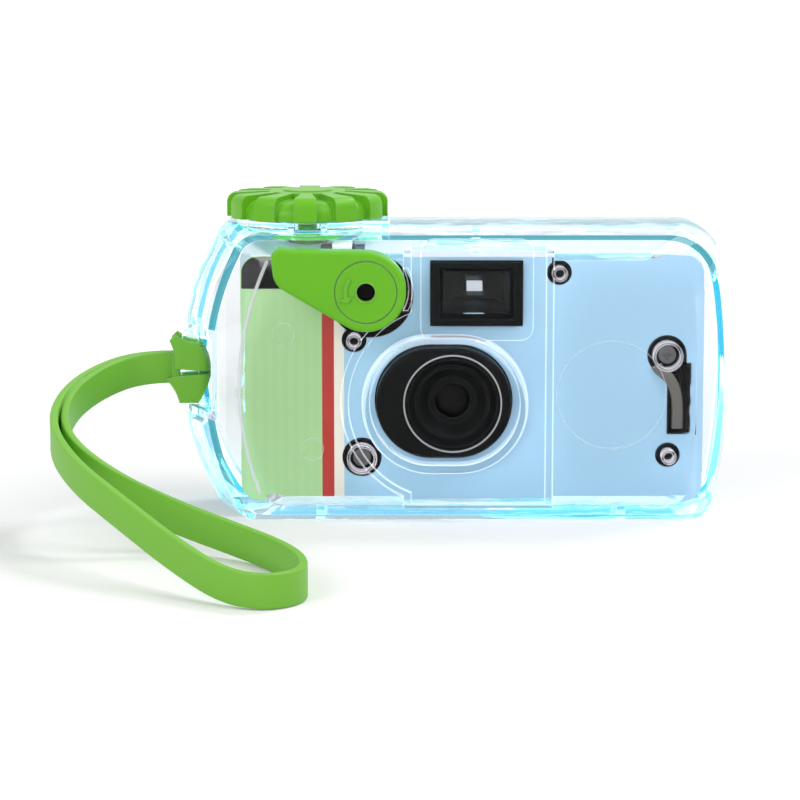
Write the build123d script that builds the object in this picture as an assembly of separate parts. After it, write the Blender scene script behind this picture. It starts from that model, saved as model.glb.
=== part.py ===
from build123d import *
import math
import os

# Film, cartridge, spools and gate. These sizes set the width and height of the film unit
film_width = 34.9
film_thickness = 0.16
film_slot = 0.5
perforation_pitch = 4.75
perforation_width = 2.8
perforation_height = 2.0
perforation_edge = 2.0
perforation_count = 11
gate_width = 36.0
gate_height = 24.0
cartridge_radius = 12.4
cartridge_ends = 8.5
cartridge_height = film_width + cartridge_ends
cartridge_wall = 0.6
cartridge_edge_round = 0.8
cartridge_lip = 8.9
cartridge_lip_thickness = 2.4
cartridge_floor_gap = 0.2
spool_radius = 5.5
spool_neck_radius = 4.4
wheel_lift = 1.0
wheel_height = 3.4
wheel_radius = 13.1
wheel_notches = 36
wheel_notch_radius = 0.45
wheel_hub_radius = 5.0
wheel_hub_lap = 0.1
supply_core_radius = 4.6
supply_flange_radius = 10.2
supply_pin_radius = 2.0
supply_lift = 1.7
supply_drop = 0.5
film_roll_radius = 9.0

# Film unit inside the case
cover_wall = 1.2
cover_front_wall = 1.0
works_height = 6.0
wheel_gap = 0.2
supply_room = 2.2
cartridge_to_gate = 16.1
gate_to_supply = 26.0
unit_left_part = cover_wall + wheel_gap + wheel_radius
unit_right_part = cover_wall + supply_room + supply_flange_radius
unit_width = unit_left_part + cartridge_to_gate + gate_width + gate_to_supply + unit_right_part
stack_height = cartridge_floor_gap + cartridge_height + wheel_lift + wheel_height
unit_height = 2 * cover_wall + stack_height + works_height
unit_foot = 3.3
unit_front = 14.0
unit_round = 3.5
unit_seam = 2.0
unit_seam_gap = 0.3
label_thickness = 0.35
locating_rib = 2.0
locating_gap = 0.3
label_notch_width = 30.4
label_notch_height = 7.2

# Clear case, seen from the front. The belly plane is where its outline is widest
case_wall = 1.8
case_left_room = 15.7
case_right_room = 8.7
case_top_room = 7.0
case_front_room = 3.7
case_back_room = 1.7
unit_low = case_wall + unit_foot
unit_high = unit_low + unit_height
case_width = unit_width + case_left_room + case_right_room
case_height = unit_high + case_top_room
case_left_bow = 10.3
case_right_bow = 3.8
case_top_left_round = 5.0
case_top_right_round = 10.5
case_bottom_left_round = 4.0
case_bottom_right_round = 4.0
case_least_round = 1.2
overrun = 1.0
unit_left = case_left_room - case_width / 2
unit_right = unit_left + unit_width
unit_x = unit_left + unit_width / 2

# Depths of the case, ahead of the belly plane or behind it
knob_y = 3.0
chamber_gap = 0.4
unit_back = knob_y + cartridge_radius + chamber_gap + cover_wall
front_reach = unit_front + case_front_room + case_wall
seam_reach = 9.0
back_reach = unit_back + case_back_room + case_wall
shoulder_reach = 15.2
shoulder_left_in = 6.5
shoulder_left_bow = 8.6
shoulder_right_in = 2.9
shoulder_right_bow = 3.5
shoulder_top_in = 1.5
shoulder_inner_share = 0.45
shoulder_rounder = 1.0
front_left_in = 15.7
front_left_bow = 5.8
front_right_in = 9.8
front_right_bow = 1.8
front_top_in = 5.3
front_bottom_in = 4.2
front_rounder = 1.5
front_round = 0.9
back_left_in = 6.5
back_left_bow = 7.5
back_right_in = 4.0
back_top_in = 2.5
back_round = 4.0
back_rounder = 1.0

# Joint between the two shells: a tongue in a groove, closed by the gasket
rim_width = 4.6
rim_left_width = 6.5
front_rim_depth = 2.2
rear_rim_depth = 5.2
seal_in = 2.4
seal_left_in = 4.8
tongue_width = 1.4
tongue_height = 2.6
groove_clearance = 0.1
gasket_height = 1.1
seam_gap = 0.1

# One axis for knob, shaft and film cartridge, and places that follow from the film
knob_x = unit_left + unit_left_part
lens_x = knob_x + cartridge_to_gate + gate_width / 2
supply_x = lens_x + gate_width / 2 + gate_to_supply
supply_y = knob_y
cartridge_low = unit_low + cover_wall + cartridge_floor_gap
cartridge_high = cartridge_low + cartridge_height
lens_z = cartridge_low + cartridge_height / 2
wheel_low = cartridge_high + wheel_lift
wheel_high = wheel_low + wheel_height
wheel_hub_high = unit_high - cover_wall + wheel_hub_lap
supply_low = cartridge_low + supply_lift
supply_high = cartridge_high - supply_drop
lip_offset = 10.0
film_y = knob_y + lip_offset
film_lead = 6.0
film_straight_end = lens_x + gate_width / 2 + film_lead
cartridge_lip_end = knob_x + cartridge_lip

# Stepped-back middle of the front panel
step_depth = 1.7
step_left_reach = 9.6
step_right_reach = 21.6
step_bottom = 4.6
step_top_in = 1.3
step_eye_radius = 22.6
step_eye_shift = 1.6

# Lens and the ports of the case
port_height = 32.2
port_stretch = 6.4
port_shift = 1.8
port_lift = 3.9
port_round = 1.4
finder_shift = 5.6
finder_drop = 8.2
finder_port_width = 26.0
finder_port_height = 23.4
finder_port_lift = 1.3
finder_port_round = 3.0
finder_port_rise = 1.3
eye_port_width = 21.0
eye_port_height = 17.0
eye_port_lift = 2.0
eye_port_rim = 1.6
port_x = lens_x - port_shift
port_width = port_height + port_stretch
port_reach = front_reach + port_lift
finder_x = lens_x + finder_shift
finder_z = unit_high - finder_drop
finder_port_z = finder_z + finder_port_rise

# Knob, turret and shaft
knob_radius = 19.1
knob_skirt_rise = 1.4
knob_skirt_height = 5.5
knob_crown_rise = 0.4
knob_hub_rise = 0.3
knob_hub_radius = 5.8
knob_edge_round = 2.2
knob_wall = 2.0
knob_rib_count = 12
knob_rib_share = 0.54
knob_pocket_depth = 1.3
knob_pocket_round = 3.4
knob_pocket_start = 9.0
knob_boss_radius = 6.6
knob_skirt_low = case_height + knob_skirt_rise
knob_edge_high = knob_skirt_low + knob_skirt_height
knob_crown_high = knob_edge_high + knob_crown_rise
knob_hub_high = knob_crown_high + knob_hub_rise
turret_radius = 16.6
turret_gap = 0.4
turret_depth = 1.5
turret_low = unit_high - turret_depth
turret_high = knob_skirt_low - turret_gap
turret_shoulder = 19.4
turret_shoulder_depth = 20.0
shaft_radius = 3.4
shaft_fit = 0.06
bearing_radius = 6.6
bearing_rise = 1.7
bearing_low = unit_high + bearing_rise
gland_radius = 5.2
gland_height = 2.0
gland_rise = 2.0
gland_low = bearing_low + gland_rise
ring_gap = 0.05
knob_key_width = 4.2
knob_key_height = 2.6
clip_thickness = 0.8
clip_width = 2.4
clip_mouth = 3.4
key_fit = 0.08
cross_width = 6.2
cross_thickness = 1.8
cross_rise = 2.9
cross_low = wheel_high + cross_rise

# Shutter lever on the front of the case
lever_shift = 20.0
lever_drop = 6.5
lever_disc_radius = 9.2
lever_gap = 0.4
lever_thickness = 6.4
lever_tip_reach = 16.4
lever_tip_rise = 4.6
lever_tip_radius = 4.9
lever_curl_reach = 19.4
lever_curl_rise = 7.6
lever_curl_radius = 2.3
lever_edge_round = 0.9
lever_wall = 1.8
lever_hole_radius = 2.1
lever_rim_radius = 7.3
lever_rim_depth = 0.35
lever_collar_gap = 0.6
lever_collar_wall = 1.0
lever_collar_height = 1.6
lever_boss_radius = 5.2
lever_boss_height = 3.4
lever_shaft_radius = 2.4
lever_gland_radius = 3.9
lever_gland_height = 1.6
lever_seal_rise = 2.4
lever_clip_thickness = 0.6
lever_arm_gap = 0.5
lever_arm_thickness = 1.1
lever_arm_radius = 4.0
lever_arm_width = 4.6
lever_tab_thickness = 0.8
lever_tab_reach = 11.0
lever_spring_wire = 0.5
lever_spring_turns = 3
lever_spring_pitch = 0.7
lever_x = lens_x - lever_shift
lever_z = unit_high - lever_drop
lever_tip_x = lever_x - lever_tip_reach
lever_tip_z = lever_z + lever_tip_rise
lever_curl_x = lever_x - lever_curl_reach
lever_curl_z = lever_z + lever_curl_rise
lever_seal_front = front_reach + lever_seal_rise
lever_arm_front = unit_front + lever_arm_gap + lever_arm_thickness
lever_tab_back = lever_arm_front - lever_tab_reach

# Release button, trigger and counter under the top of the film unit
button_shift = 5.6
button_depth = 6.8
button_radius = 2.9
button_lift = 1.5
button_edge_round = 0.5
button_stem_radius = 1.5
button_gap = 0.3
trigger_shift = 2.2
trigger_drop = 3.5
trigger_left = 9.8
trigger_right = 5.0
trigger_width = 3.6
trigger_thickness = 1.6
trigger_gap = 0.2
trigger_pin_radius = 1.0
ear_thickness = 1.0
ear_width = 3.4
counter_shift = 13.3
counter_set_back = 0.2
counter_radius = 6.3
counter_drop = 6.3
counter_thickness = 1.0
counter_post_radius = 1.2
counter_teeth = 25
counter_tooth_depth = 0.5
counter_window = 3.4
button_x = lever_x - button_shift
button_y = button_depth - unit_front
button_high = unit_high + button_lift
lever_arm_top = button_high + button_gap + lever_tab_thickness
trigger_x = lever_x + trigger_shift
trigger_z = unit_high - trigger_drop
button_stem_low = trigger_z + trigger_thickness / 2 + trigger_gap
counter_x = lens_x - counter_shift
counter_y = knob_y + counter_set_back
counter_low = unit_high - counter_drop

# Chassis between the covers, and the sprocket that the film turns
chassis_wall = 1.1
chassis_floor_gap = 0.3
chassis_drop = 0.1
chassis_low = unit_low + cover_wall + chassis_floor_gap
chassis_high = cartridge_high - chassis_drop
gate_y = film_y - chassis_wall
lens_room = 5.6
tunnel_front = unit_front - lens_room
tunnel_mouth_width = 15.0
tunnel_mouth_height = 12.0
deck_gap = 0.8
deck_thickness = 1.2
deck_low = lens_z + film_width / 2 + deck_gap
deck_high = deck_low + deck_thickness
post_radius = 2.6
screw_radius = 0.9
screw_head_radius = 2.1
screw_head_height = 0.9
screw_head_round = 0.3
screw_slot_width = 0.5
screw_length = 5.0
sprocket_shift = 3.2
sprocket_teeth = 8
sprocket_height = 3.0
sprocket_shaft_radius = 1.2
sprocket_tip_radius = 5.9
sprocket_root_radius = 5.0
sprocket_gap = 0.15
sprocket_end_gap = 0.6
perforation_row = lens_z + film_width / 2 - perforation_edge - perforation_height / 2
sprocket_x = lens_x - gate_width / 2 + sprocket_shift
sprocket_y = film_y - sprocket_tip_radius - sprocket_gap
sprocket_low = perforation_row - sprocket_height / 2
sprocket_high = sprocket_low + sprocket_height
sprocket_shaft_high = counter_low - sprocket_end_gap

# Lens, shutter and finder
shield_width = 31.6
shield_height = 25.8
shield_shift = 2.0
shield_lift = 5.8
shield_bore = 11.2
shield_round = 1.0
retainer_mouth = 10.2
retainer_drop = 0.4
retainer_gap = 0.1
retainer_steps = 5
lens_radius = 5.0
lens_edge = 1.0
lens_sag = 1.1
lens_rear_sag = 0.6
lens_hole = 4.2
lens_seat_depth = 2.2
lens_boss_wall = 2.0
stop_radius = 3.4
stop_thickness = 0.5
blade_thickness = 0.3
blade_shift = 9.6
blade_rise = 9.0
blade_gap = 0.25
blade_width = 7.4
blade_root_radius = 2.5
blade_pin_radius = 1.0
plate_thickness = 1.0
plate_width = 36.0
plate_height = 36.0
plate_hole = 2.2
finder_width = 21.0
finder_height = 14.8
finder_frame_lift = 1.2
finder_frame_round = 2.0
finder_ledge = 0.5
finder_ledge_height = 0.8
finder_tube_width = 17.4
finder_tube_height = 12.0
finder_wall = 0.9
finder_eye_width = 9.0
finder_eye_height = 7.0
finder_lens_thickness = 1.6
finder_funnel_depth = 3.2
finder_lens_hollow = 0.8
shield_x = lens_x - shield_shift
shield_reach = unit_front + shield_lift
retainer_reach = shield_reach - retainer_drop
blade_x = lens_x + blade_shift
blade_z = lens_z + blade_rise
finder_frame_reach = unit_front + finder_frame_lift

# Posts of the black cover that show through round windows in the label, and the latch
small_post_shares = ((0.242, 0.661), (0.691, 0.941), (0.933, 0.179))
screw_post_shares = ((0.259, 0.170), (0.929, 0.599))
small_posts = [(unit_left + x * unit_width, unit_low + z * unit_height) for x, z in small_post_shares]
screw_posts = [(unit_left + x * unit_width, unit_low + z * unit_height) for x, z in screw_post_shares]
small_post_radius = 2.6
screw_post_radius = 4.3
post_lift = 0.6
post_rim = 0.7
post_lug_width = 2.8
lever_window_radius = 9.9
lever_window_shift = 1.0
lever_window_drop = 2.2
post_window_gap = 0.3
pin_gap = 0.2
pin_wall = 0.5
latch_in = 2.9
latch_width = 3.0
latch_drop = 2.3
latch_length = 16.2
latch_arm_shift = 4.2
latch_arm_width = 2.6
latch_foot_height = 1.6
latch_hook_depth = 2.2
latch_x = unit_right - latch_in
latch_high = screw_posts[1][1] - latch_drop
latch_low = latch_high - latch_length
latch_arm_left = latch_x - latch_arm_shift

# Strap: a flat moulded band in one loop, hitched round the bar at the left end
strap_width = 7.4
strap_thickness = 1.8
lug_z = 34.0
lug_recess_height = 17.2
lug_recess_depth = 8.1
lug_recess_back = 6.6
lug_bar_depth = 4.4
lug_slot_width = 3.0
lug_slot_in = 7.4
lug_recess_right = lug_recess_depth - case_width / 2
lug_slot_right = lug_slot_in - case_width / 2
hitch_gap = 0.3
hitch_split = 0.6
hitch_drop = 0.9
hitch_reach = 8.2
hitch_rise = 6.9
hitch_shoulder = 2.8
hitch_tip_out = 0.9
hitch_tip_rise = 8.7
hitch_tip_width = 1.3
hitch_tail_out = 2.2
hitch_bow = 0.5
hitch_right = lug_slot_right - hitch_gap
hitch_left = hitch_right - hitch_reach
hitch_high = lug_z - hitch_drop + hitch_split / 2
hitch_low = hitch_high - hitch_split
strap_start = -67.2
strap_corner_share = 0.45
strap_route = (
    (-67.2, 1.0, 34.0),
    (-75.0, 1.0, 34.0),
    (-84.5, -7.5, 32.0),
    (-90.0, -24.0, 28.9),
    (-90.8, -44.0, 24.6),
    (-84.5, -62.5, 19.6),
    (-72.5, -78.5, 14.2),
    (-59.5, -95.0, 8.8),
    (-47.5, -110.0, 4.6),
    (-38.0, -117.0, 3.9),
    (-30.0, -109.0, 3.8),
    (-30.5, -93.5, 3.8),
    (-37.0, -75.0, 3.8),
    (-48.0, -58.5, 4.9),
    (-62.0, -50.8, 9.8),
    (-76.0, -53.0, 17.0),
    (-87.3, -44.5, 22.8),
    (-89.8, -27.0, 27.6),
    (-84.5, -12.0, 31.4),
    (-75.0, -1.0, 34.0),
    (-67.2, -1.0, 34.0),
)

# The origin is the bottom centre of the object, so the belly plane lies behind it
lever_front = front_reach + lever_gap + lever_thickness
belly_y = (lever_front - back_reach - eye_port_lift) / 2


def save(name, solid):
    """Set one sub-part into the part's frame and write it."""
    export_step(Pos(0, belly_y, 0) * solid, "parts/" + name + ".step")


def view(reach):
    """Upright plane facing the viewer, this far ahead of the belly plane."""
    return Plane(origin=(0, -reach, 0), x_dir=(1, 0, 0), z_dir=(0, -1, 0))


def slab(face, near, far):
    """A face drawn in the front view, made solid between two reaches."""
    return extrude(view(far) * face, near - far)


def column(face, low, high):
    """A face drawn in plan, made solid between two heights."""
    return extrude(Pos(0, 0, low) * face, high - low)


def disc(x, z, radius):
    """A circle in the front view."""
    return Pos(x, z) * Circle(radius)


def panel(left, right, low, high):
    """A rectangle in the front view, or in plan, from its four edges."""
    return Pos((left + right) / 2, (low + high) / 2) * Rectangle(right - left, high - low)


def block(left, right, near, far, low, high):
    """A plain block between two reaches."""
    return slab(panel(left, right, low, high), near, far)


def stadium(x, z, width, height):
    """Two round ends joined by straight sides, in the front view."""
    return Pos(x, z) * SlotOverall(width, height)


# Outlines of the case

def case_outline(left_in, left_bow, right_in, right_bow, top_in, bottom_in, rounder):
    """The belly outline drawn in at each side: bowed ends, and corners rounder by a length."""
    left = left_in - case_width / 2 + left_bow
    right = case_width / 2 - right_in - right_bow
    top = case_height - top_in
    middle = (top + bottom_in) / 2
    sides = [
        ThreePointArc((left, bottom_in), (left - left_bow, middle), (left, top)),
        Line((left, top), (right, top)),
        ThreePointArc((right, top), (right + right_bow, middle), (right, bottom_in)),
        Line((right, bottom_in), (left, bottom_in)),
    ]
    outline = make_face(sides)
    corners = (
        ((left, bottom_in), case_bottom_left_round + rounder),
        ((left, top), case_top_left_round + rounder),
        ((right, top), case_top_right_round + rounder),
        ((right, bottom_in), case_bottom_right_round + rounder),
    )
    for corner, corner_round in corners:
        vertex = outline.vertices().sort_by_distance(corner)[0]
        outline = fillet(vertex, max(corner_round, case_least_round))
    return outline


def belly_outline(inset):
    """The widest outline of the case, drawn in all round."""
    return case_outline(inset, case_left_bow, inset, case_right_bow, inset, inset, -inset)


def seal_outline(spread):
    """The path of tongue, groove and gasket, drawn out by a spread."""
    sides_in = seal_in - spread
    left_in = seal_left_in - spread
    return case_outline(left_in, case_left_bow, sides_in, case_right_bow, sides_in, sides_in, spread)


def rim_opening():
    """The mouth of the case, inside its rims."""
    return case_outline(rim_left_width, case_left_bow, rim_width, case_right_bow, rim_width, rim_width, 0)


def front_form(inset):
    """Front half of the case as a closed form: belly, shoulder and a flat nose with a crisp edge."""
    belly = belly_outline(inset)
    shoulder = case_outline(
        shoulder_left_in + inset,
        shoulder_left_bow,
        shoulder_right_in + inset,
        shoulder_right_bow,
        shoulder_top_in + inset,
        inset,
        shoulder_rounder - inset,
    )
    nose = case_outline(
        front_left_in + inset,
        front_left_bow,
        front_right_in + inset,
        front_right_bow,
        front_top_in + inset,
        front_bottom_in + inset,
        front_rounder - inset,
    )
    shoulder_plane = view(shoulder_reach - shoulder_inner_share * inset)
    form = loft([view(0) * belly, shoulder_plane * shoulder, view(front_reach - inset) * nose], ruled=True)
    if inset == 0:
        form = fillet(form.faces().sort_by(Axis.Y)[0].edges(), front_round)
    return form + slab(belly, 0, -seam_reach)


def rear_form(inset):
    """Rear half of the case as a closed form."""
    belly = belly_outline(inset)
    tail = case_outline(
        back_left_in + inset,
        back_left_bow,
        back_right_in + inset,
        case_right_bow,
        back_top_in + inset,
        inset,
        back_rounder - inset,
    )
    form = loft([view(-seam_reach - seam_gap) * belly, view(inset - back_reach) * tail])
    return fillet(form.faces().sort_by(Axis.Y)[-1].edges(), back_round - inset)


def step_outline(spread):
    """The stepped-back middle of the front panel: a strip and a round eye about the lens."""
    left = lens_x - step_left_reach - spread
    right = lens_x + step_right_reach + spread
    strip = panel(left, right, step_bottom - spread, case_height - step_top_in + spread)
    return strip + disc(lens_x - step_eye_shift, lens_z, step_eye_radius + spread)


def lens_port_outline(inset):
    """The oval port in front of the lens."""
    return stadium(port_x, lens_z, port_width - 2 * inset, port_height - 2 * inset)


def turret_outline(inset):
    """Plan of the turret under the knob, cut flat at the seam, with a shoulder at the right."""
    round_part = Pos(knob_x, knob_y) * Circle(turret_radius - inset)
    shoulder = panel(
        knob_x,
        knob_x + turret_shoulder - inset,
        knob_y - turret_shoulder_depth / 2 + inset,
        knob_y + turret_shoulder_depth / 2,
    )
    front_half = panel(
        knob_x - turret_shoulder,
        knob_x + turret_shoulder,
        knob_y - turret_shoulder - overrun,
        seam_reach - inset,
    )
    return (round_part + shoulder) & front_half


def lug_space(grow):
    """The pocket at the left end that leaves room for the strap behind and before its bar."""
    return block(
        -case_width / 2 - overrun,
        lug_recess_right + grow,
        front_reach + overrun,
        -lug_recess_back - grow,
        lug_z - lug_recess_height / 2 - grow,
        lug_z + lug_recess_height / 2 + grow,
    )


def lug_bar():
    """The upright bar that the strap is hitched to, with its slot."""
    pocket = panel(
        -case_width / 2 - overrun,
        lug_recess_right + overrun,
        lug_z - lug_recess_height / 2,
        lug_z + lug_recess_height / 2,
    )
    slot = panel(
        lug_slot_right - lug_slot_width,
        lug_slot_right,
        lug_z - lug_recess_height / 2 + hitch_gap,
        lug_z + lug_recess_height / 2 - hitch_gap,
    )
    plate = (belly_outline(0) & pocket) - slot
    return slab(plate, lug_bar_depth / 2, -lug_bar_depth / 2)


def locating_ribs():
    """Ribs on the floor and under the roof of the case, which hold the film unit."""
    ribs = []
    near = unit_front - case_front_room
    sleeve_gap = label_thickness + locating_gap
    for side in (-1, 1):
        rib_x = unit_x + side * unit_width / 3
        left = rib_x - locating_rib / 2
        right = left + locating_rib
        ribs.append(block(left, right, near, -seam_reach, case_wall / 2, unit_low - sleeve_gap))
    left = finder_x - locating_rib / 2
    roof = case_height - shoulder_top_in - case_wall / 2
    ribs.append(block(left, left + locating_rib, near, -seam_reach, unit_high + sleeve_gap, roof))
    return ribs


def locating_pins():
    """Short tubes behind the front panel, which stand in the hollow posts of the film unit."""
    near = front_reach - case_wall / 2
    far = unit_front - label_thickness + locating_gap
    pins = []
    for posts, radius in ((small_posts, small_post_radius), (screw_posts, screw_post_radius)):
        outer = radius - post_rim - pin_gap
        for x, z in posts:
            pins.append(slab(disc(x, z, outer) - disc(x, z, outer - pin_wall), near, far))
    return pins


def lever_collar():
    """Low wall of the shell round the free side of the lever's disc."""
    inner = lever_disc_radius + lever_collar_gap
    ring = disc(lever_x, lever_z, inner + lever_collar_wall) - disc(lever_x, lever_z, inner)
    ring &= panel(lever_x, lever_x + 2 * inner, lever_z - inner / 2, lever_z + inner / 2)
    return slab(ring, front_reach + lever_collar_height, front_reach - case_wall / 2)


def front_shell():
    """Deep clear shell: ports, turret, lever boss, strap lug and the tongue of the seal."""
    step_reach = front_reach - step_depth
    shell = front_form(0) - slab(step_outline(0), front_reach + overrun, step_reach)
    port = slab(lens_port_outline(0), port_reach, step_reach - case_wall)
    shell += fillet(port.faces().sort_by(Axis.Y)[0].edges(), port_round)
    finder_port = RectangleRounded(finder_port_width, finder_port_height, finder_port_round)
    finder_port = Pos(finder_x, finder_port_z) * finder_port
    shell += slab(finder_port, step_reach + finder_port_lift, step_reach - case_wall)
    shell += column(turret_outline(0), turret_low, turret_high)

    hollow = front_form(case_wall)
    hollow -= slab(step_outline(case_wall), front_reach, step_reach - case_wall)
    hollow -= lug_space(case_wall)
    hollow += slab(lens_port_outline(case_wall), port_reach - case_wall, step_reach - 2 * case_wall)
    hollow += column(turret_outline(case_wall), turret_low, turret_high - case_wall)
    shell -= hollow

    shell += slab(belly_outline(0) - rim_opening(), front_rim_depth - seam_reach, -seam_reach)
    tongue = seal_outline(tongue_width / 2) - seal_outline(-tongue_width / 2)
    shell += slab(tongue, -seam_reach, -seam_reach - tongue_height)
    shell -= lug_space(0)
    shell += lug_bar()
    for rib in locating_ribs() + locating_pins():
        shell += rib

    bearing = (Pos(knob_x, knob_y) * Circle(bearing_radius)) & turret_outline(0)
    shell += column(bearing, bearing_low, turret_high)
    shell -= column(Pos(knob_x, knob_y) * Circle(gland_radius), gland_low, gland_low + gland_height)
    bore = Circle(shaft_radius + shaft_fit)
    shell -= column(Pos(knob_x, knob_y) * bore, bearing_low - overrun, turret_high + overrun)

    boss = disc(lever_x, lever_z, lever_boss_radius)
    shell += slab(boss, front_reach + lever_boss_height, front_reach - case_wall)
    shell += lever_collar()
    gland = disc(lever_x, lever_z, lever_gland_radius)
    shell -= slab(gland, lever_seal_front, lever_seal_front - lever_gland_height)
    lever_bore = disc(lever_x, lever_z, lever_shaft_radius + shaft_fit)
    shell -= slab(lever_bore, lever_front, front_reach - case_wall - overrun)
    return shell


def rear_shell():
    """Shallow clear shell: groove of the seal and the raised port behind the finder."""
    near = -seam_reach - seam_gap
    shell = rear_form(0)
    eye_port = RectangleRounded(eye_port_width, eye_port_height, finder_port_round)
    shell += slab(Pos(finder_x, finder_z) * eye_port, case_wall - back_reach, -back_reach - eye_port_lift)
    eye_bowl = RectangleRounded(
        eye_port_width - 2 * eye_port_rim,
        eye_port_height - 2 * eye_port_rim,
        finder_port_round - eye_port_rim,
    )
    shell -= slab(Pos(finder_x, finder_z) * eye_bowl, -back_reach, -back_reach - eye_port_lift - overrun)
    hollow = rear_form(case_wall)
    shell -= hollow
    rim = belly_outline(0) - rim_opening()
    shell += slab(rim, near, -seam_reach - rear_rim_depth)
    groove_half = tongue_width / 2 + groove_clearance
    groove = seal_outline(groove_half) - seal_outline(-groove_half)
    shell -= slab(groove, near + overrun, groove_floor())
    return shell


def groove_floor():
    """Reach of the bottom of the gasket groove."""
    return -seam_reach - tongue_height - groove_clearance - gasket_height


def case_gasket():
    """Soft ring in the groove, pressed by the tongue."""
    half = tongue_width / 2
    ring = seal_outline(half) - seal_outline(-half)
    return slab(ring, groove_floor() + gasket_height, groove_floor())


# Winding knob and its shaft

def knob_profile(inset, edge_round):
    """Half section of the knob: crowned top and upright skirt, drawn in for the pockets."""
    outer = knob_radius - inset
    points = [
        (0, knob_skirt_low),
        (outer, knob_skirt_low),
        (outer, knob_edge_high - inset),
        (knob_pocket_start, knob_crown_high - inset),
        (0, knob_crown_high - inset),
    ]
    face = make_face(Polyline(*points, close=True))
    edge = face.vertices().sort_by_distance((outer, knob_edge_high - inset))[0]
    return fillet(edge, edge_round)


def knob_ribs():
    """Equal wedges in plan, one for each raised rib of the knob; one faces the front."""
    half_angle = 180 / knob_rib_count * knob_rib_share
    reach = knob_radius + overrun
    corner_x = reach * math.cos(math.radians(half_angle))
    corner_y = reach * math.sin(math.radians(half_angle))
    edge = Polyline((0, 0), (corner_x, -corner_y), (reach + overrun, 0), (corner_x, corner_y), close=True)
    wedge = make_face(edge)
    turn = 360 / knob_rib_count
    return Sketch() + [Rot(0, 0, index * turn) * wedge for index in range(knob_rib_count)]


def advance_knob():
    """Ribbed winding knob, hollow below, with a keyed boss for the shaft."""
    full = revolve(Plane.XZ * knob_profile(0, knob_edge_round), Axis.Z)
    core = revolve(Plane.XZ * knob_profile(knob_pocket_depth, knob_pocket_round), Axis.Z)
    centre = Circle(knob_pocket_start)
    ribs = column(knob_ribs() + centre, knob_skirt_low - overrun, knob_hub_high + overrun)
    knob = core + (full & ribs)
    knob += column(Circle(knob_hub_radius), knob_edge_high, knob_hub_high)
    pocket = Circle(knob_radius - knob_pocket_depth - knob_wall)
    knob -= column(pocket, knob_skirt_low - overrun, knob_edge_high - knob_wall)
    knob += column(Circle(knob_boss_radius), knob_skirt_low, knob_edge_high)
    key = Rectangle(knob_key_width + 2 * key_fit, knob_key_width + 2 * key_fit)
    knob -= column(key, knob_skirt_low - overrun, knob_skirt_low + knob_key_height + key_fit)
    return Pos(knob_x, knob_y, 0) * knob


def cross(fit):
    """Crossed blades at the lower end of the shaft, or their socket."""
    width = cross_width + 2 * fit
    thickness = cross_thickness + 2 * fit
    return Rectangle(width, thickness) + Rectangle(thickness, width)


def knob_shaft():
    """Square head in the knob, round journal in the turret, crossed blades below."""
    clip_high = bearing_low - ring_gap
    journal_low = bearing_low - 3 * clip_thickness
    shaft = column(Circle(shaft_radius), journal_low, knob_skirt_low)
    head = Rectangle(knob_key_width, knob_key_width)
    shaft += column(head, knob_skirt_low, knob_skirt_low + knob_key_height)
    groove = Circle(shaft_radius + overrun) - Circle(shaft_radius - clip_thickness)
    shaft -= column(groove, clip_high - clip_thickness - ring_gap, clip_high)
    shaft += column(cross(0), cross_low, journal_low)
    return Pos(knob_x, knob_y, 0) * shaft


def knob_seal():
    """Ring of soft rubber in the gland round the shaft."""
    section = (gland_radius - shaft_radius) / 2 - ring_gap
    middle = (gland_radius + shaft_radius) / 2
    ring = Torus(middle, section)
    return Pos(knob_x, knob_y, gland_low + gland_height / 2) * ring


def knob_clip():
    """Sprung steel clip in the groove of the shaft, under the bearing."""
    inner = shaft_radius - clip_thickness + ring_gap
    ring = Circle(inner + clip_width) - Circle(inner)
    ring -= Pos(0, -inner - clip_width / 2) * Rectangle(clip_mouth, 2 * clip_width)
    high = bearing_low - ring_gap
    return Pos(knob_x, knob_y, 0) * column(ring, high - clip_thickness, high - ring_gap)


# Shutter lever

def lever_outline():
    """Round disc, tapering arm and finger tip that curls up, in the front view."""
    disc_edge = Pos(lever_x, lever_z) * Circle(lever_disc_radius).edge()
    tip_edge = Pos(lever_tip_x, lever_tip_z) * Circle(lever_tip_radius).edge()
    curl_edge = Pos(lever_curl_x, lever_curl_z) * Circle(lever_curl_radius).edge()
    body = make_hull([disc_edge, tip_edge])
    return body + make_hull([tip_edge, curl_edge])


def shutter_lever():
    """Green lever, hollow behind its disc, with a round socket and a shallow ring on its face."""
    far = front_reach + lever_gap
    lever = slab(lever_outline(), lever_front, far)
    lever = fillet(lever.faces().sort_by(Axis.Y)[0].edges(), lever_edge_round)
    ring = disc(lever_x, lever_z, lever_rim_radius)
    ring -= disc(lever_x, lever_z, lever_rim_radius - lever_rim_depth)
    lever -= slab(ring, lever_front + overrun, lever_front - lever_rim_depth)
    hub_space = disc(lever_x, lever_z, lever_boss_radius + 3 * lever_gap)
    boss_reach = front_reach + lever_boss_height
    lever -= slab(hub_space, boss_reach + lever_gap, far - overrun)
    lever -= slab(disc(lever_x, lever_z, lever_hole_radius), lever_front + overrun, boss_reach)
    key = lever_key(key_fit)
    lever -= slab(key, lever_front - lever_wall + key_fit, boss_reach)
    return lever


def lever_key(fit):
    """Square end of the lever's shaft, or its socket."""
    side = lever_shaft_radius * math.sqrt(2) + 2 * fit
    return Pos(lever_x, lever_z) * Rectangle(side, side)


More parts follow.
